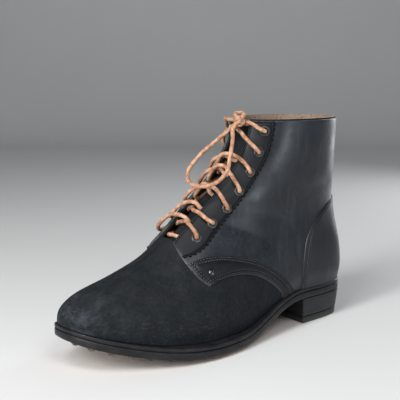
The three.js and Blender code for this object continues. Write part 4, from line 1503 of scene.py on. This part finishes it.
def stud_seats():
    """Three rings that follow the outline, a short middle line and rows at the waist."""
    centre = STUD_CENTRE
    reach = SOLE_TIP_X - centre[0]
    seats = []
    for inset_by, count, start in STUD_RINGS:
        scale = np.array([1 - inset_by / reach, 1 - inset_by / STUD_HALF])
        moved = centre + (sole_line - centre) * scale
        moved = moved[moved[:, 0] > start]
        turn = int(np.argmax(np.linalg.norm(np.diff(moved, axis=0), axis=1))) + 1
        if np.linalg.norm(moved[turn] - moved[turn - 1]) > 10:
            moved = np.vstack([moved[turn:], moved[:turn]])
        seats += list(evenly(moved, count))
    return seats + [np.array(seat, float) for seat in STUD_LOOSE]


STUD_PROFILE = [
    (STUD_RADIUS * 0.9, -0.8), (STUD_RADIUS, -0.1), (STUD_RADIUS, 0.3), (STUD_RADIUS * 0.9, 0.8),
    (STUD_RADIUS * 0.63, 1.9), (STUD_RADIUS * 0.4, 2.6), (STUD_RADIUS * 0.2, 2.92), (0.01, STUD_HEIGHT),
]


def studs():
    parts = []
    for x, y in stud_seats():
        slope = float(sole_z(x + 1) - sole_z(x - 1)) / 2
        parts.append(lathe(STUD_PROFILE, (x, y, float(sole_z(x))), (slope, 0, -1), 22))
    points, faces = joined(parts)
    build("hobnails", points, faces, [STEEL], merge=0.005)


def flat_nails(name, seats, radius, proud):
    profile = [(radius, -0.4), (radius, proud * 0.4), (radius * 0.8, proud), (0.01, proud)]
    parts = [lathe(profile, seat, axis, 14) for seat, axis in seats]
    points, faces = joined(parts)
    build(name, points, faces, [STEEL], merge=0.005)


PEG_ROWS = (6.5, 11.5)
PEG_PITCH, PEG_END_X = 5.2, 140.0


def waist_pegs():
    """Two rows of small nail heads along each edge of the waist."""
    seats = []
    for side in (OUTER, INNER):
        for inset_by in PEG_ROWS:
            x = np.arange(HEEL_BREAST_X + 6 + inset_by / 3, PEG_END_X, PEG_PITCH)
            y = sole_y(side, x) - side * inset_by
            slope = (sole_z(x + 1) - sole_z(x - 1)) / 2
            seats += [((a, b, float(sole_z(a))), (s, 0, -1)) for a, b, s in zip(x, y, slope)]
    flat_nails("waist_pegs", seats, 0.85, 0.12)


def heel_nails():
    """Small flush nails round the top piece's rim."""
    ring = shrunk(heel_ring(0), 7.5)
    line = evenly(np.vstack([ring, ring[:1]]), 14)[:-1]
    seats = [((x, y, 0.05), (0, 0, -1)) for x, y in line if x < HEEL_BREAST_X - 6]
    seats += [((x, y, 0.05), (0, 0, -1)) for x, y in ((30, 9), (30, -9), (46, 0))]
    flat_nails("heel_nails", seats, 1.25, 0.1)


def welt_stitches():
    """Thick waxed stitches on the welt, from the breast of the heel round the toe."""
    count = 1200
    line = shrunk(even_ring(sole_line, count), 1.7)
    from_breast = np.abs(line[:, 0] - HEEL_BREAST_X - 8)
    start = int(from_breast[:count // 2].argmin())
    end = count // 2 + int(from_breast[count // 2:].argmin())
    line = line[start:end]
    z = midsole_z(line[:, 0]) + MIDSOLE_THICK
    rows = np.column_stack([line, z])
    normals = np.tile((0.0, 0.0, 1.0), (len(rows), 1))
    points, faces = stitch_row(rows, normals, 3.1, (2.6, 1.0, 0.9))
    build("stitches_welt", points, faces, [THREAD], merge=0)


sole_plates()
insole()
heel_block("heel_stack", TOP_PIECE_THICK + GAP, HEEL_SEAT_Z - GAP, (0.34, 0.68), [EDGE], 0,
           "heel_lifts")
heel_block("heel_top_leather", 0, TOP_PIECE_THICK, (), [EDGE, HEEL], 1, "heel_top_piece")
studs()
waist_pegs()
heel_nails()
welt_stitches()

# ---------------------------------------------------------------- floor and light


def floor():
    """A pale sweep that runs up behind the boot."""
    f = Finish("floor", Roughness=0.7)
    f.colour(f.mixed(f.noise(300, 2), (0.66, 0.66, 0.655), (0.70, 0.70, 0.695)))
    mesh = bpy.data.meshes.new("floor")
    far, up, bend = 2.2, 1.8, 0.5
    arc = np.linspace(0.1, math.pi / 2, 12)
    curve = [(far - bend + bend * math.sin(a), bend - bend * math.cos(a)) for a in arc]
    profile = [(-far, 0), (far - bend, 0), *curve, (far, up)]
    away = (TARGET - bpy.context.scene.camera.location).to_2d().normalized()
    sideways = Vector((-away.y, away.x))
    points = []
    for across in (-3.0, 3.0):
        for along, z in profile:
            at = away * along + sideways * across
            points.append((at.x, at.y, z))
    n = len(profile)
    mesh.from_pydata(points, [], [(i, i + 1, n + i + 1, n + i) for i in range(n - 1)])
    mesh.materials.append(f.material)
    mesh.shade_smooth()
    sweep = bpy.data.objects.new("floor", mesh)
    bpy.context.scene.collection.objects.link(sweep)


LIT_POINT = Vector((0.11, 0, 0.08))


def light(name, where, size, power, colour=(1, 1, 1)):
    data = bpy.data.lights.new(name, "AREA")
    data.shape = "RECTANGLE"
    data.size, data.size_y = size
    data.energy = power
    data.color = colour
    lamp = bpy.data.objects.new(name, data)
    bpy.context.scene.collection.objects.link(lamp)
    lamp.location = where
    aim = LIT_POINT - lamp.location
    lamp.rotation_mode = "QUATERNION"
    lamp.rotation_quaternion = aim.to_track_quat("-Z", "Y")


def lighting():
    world = bpy.data.worlds.new("studio")
    world.use_nodes = True
    background = world.node_tree.nodes["Background"]
    background.inputs["Color"].default_value = (0.86, 0.90, 0.95, 1)
    background.inputs["Strength"].default_value = 0.17
    bpy.context.scene.world = world
    light("key", (0.88, 0.25, 0.95), (0.45, 0.8), 8)
    light("front", (1.15, 0.18, 0.50), (0.22, 0.6), 10)
    light("fill", (0.42, 0.85, 1.00), (0.5, 0.5), 5)
    light("side", (-0.17, 1.08, 0.20), (0.13, 0.36), 2.0, (0.90, 0.96, 1))
    light("rim", (-1.0, -0.12, 0.42), (0.3, 0.9), 5, (0.95, 0.98, 1))


floor()
lighting()
bpy.context.scene.view_settings.view_transform = "Standard"
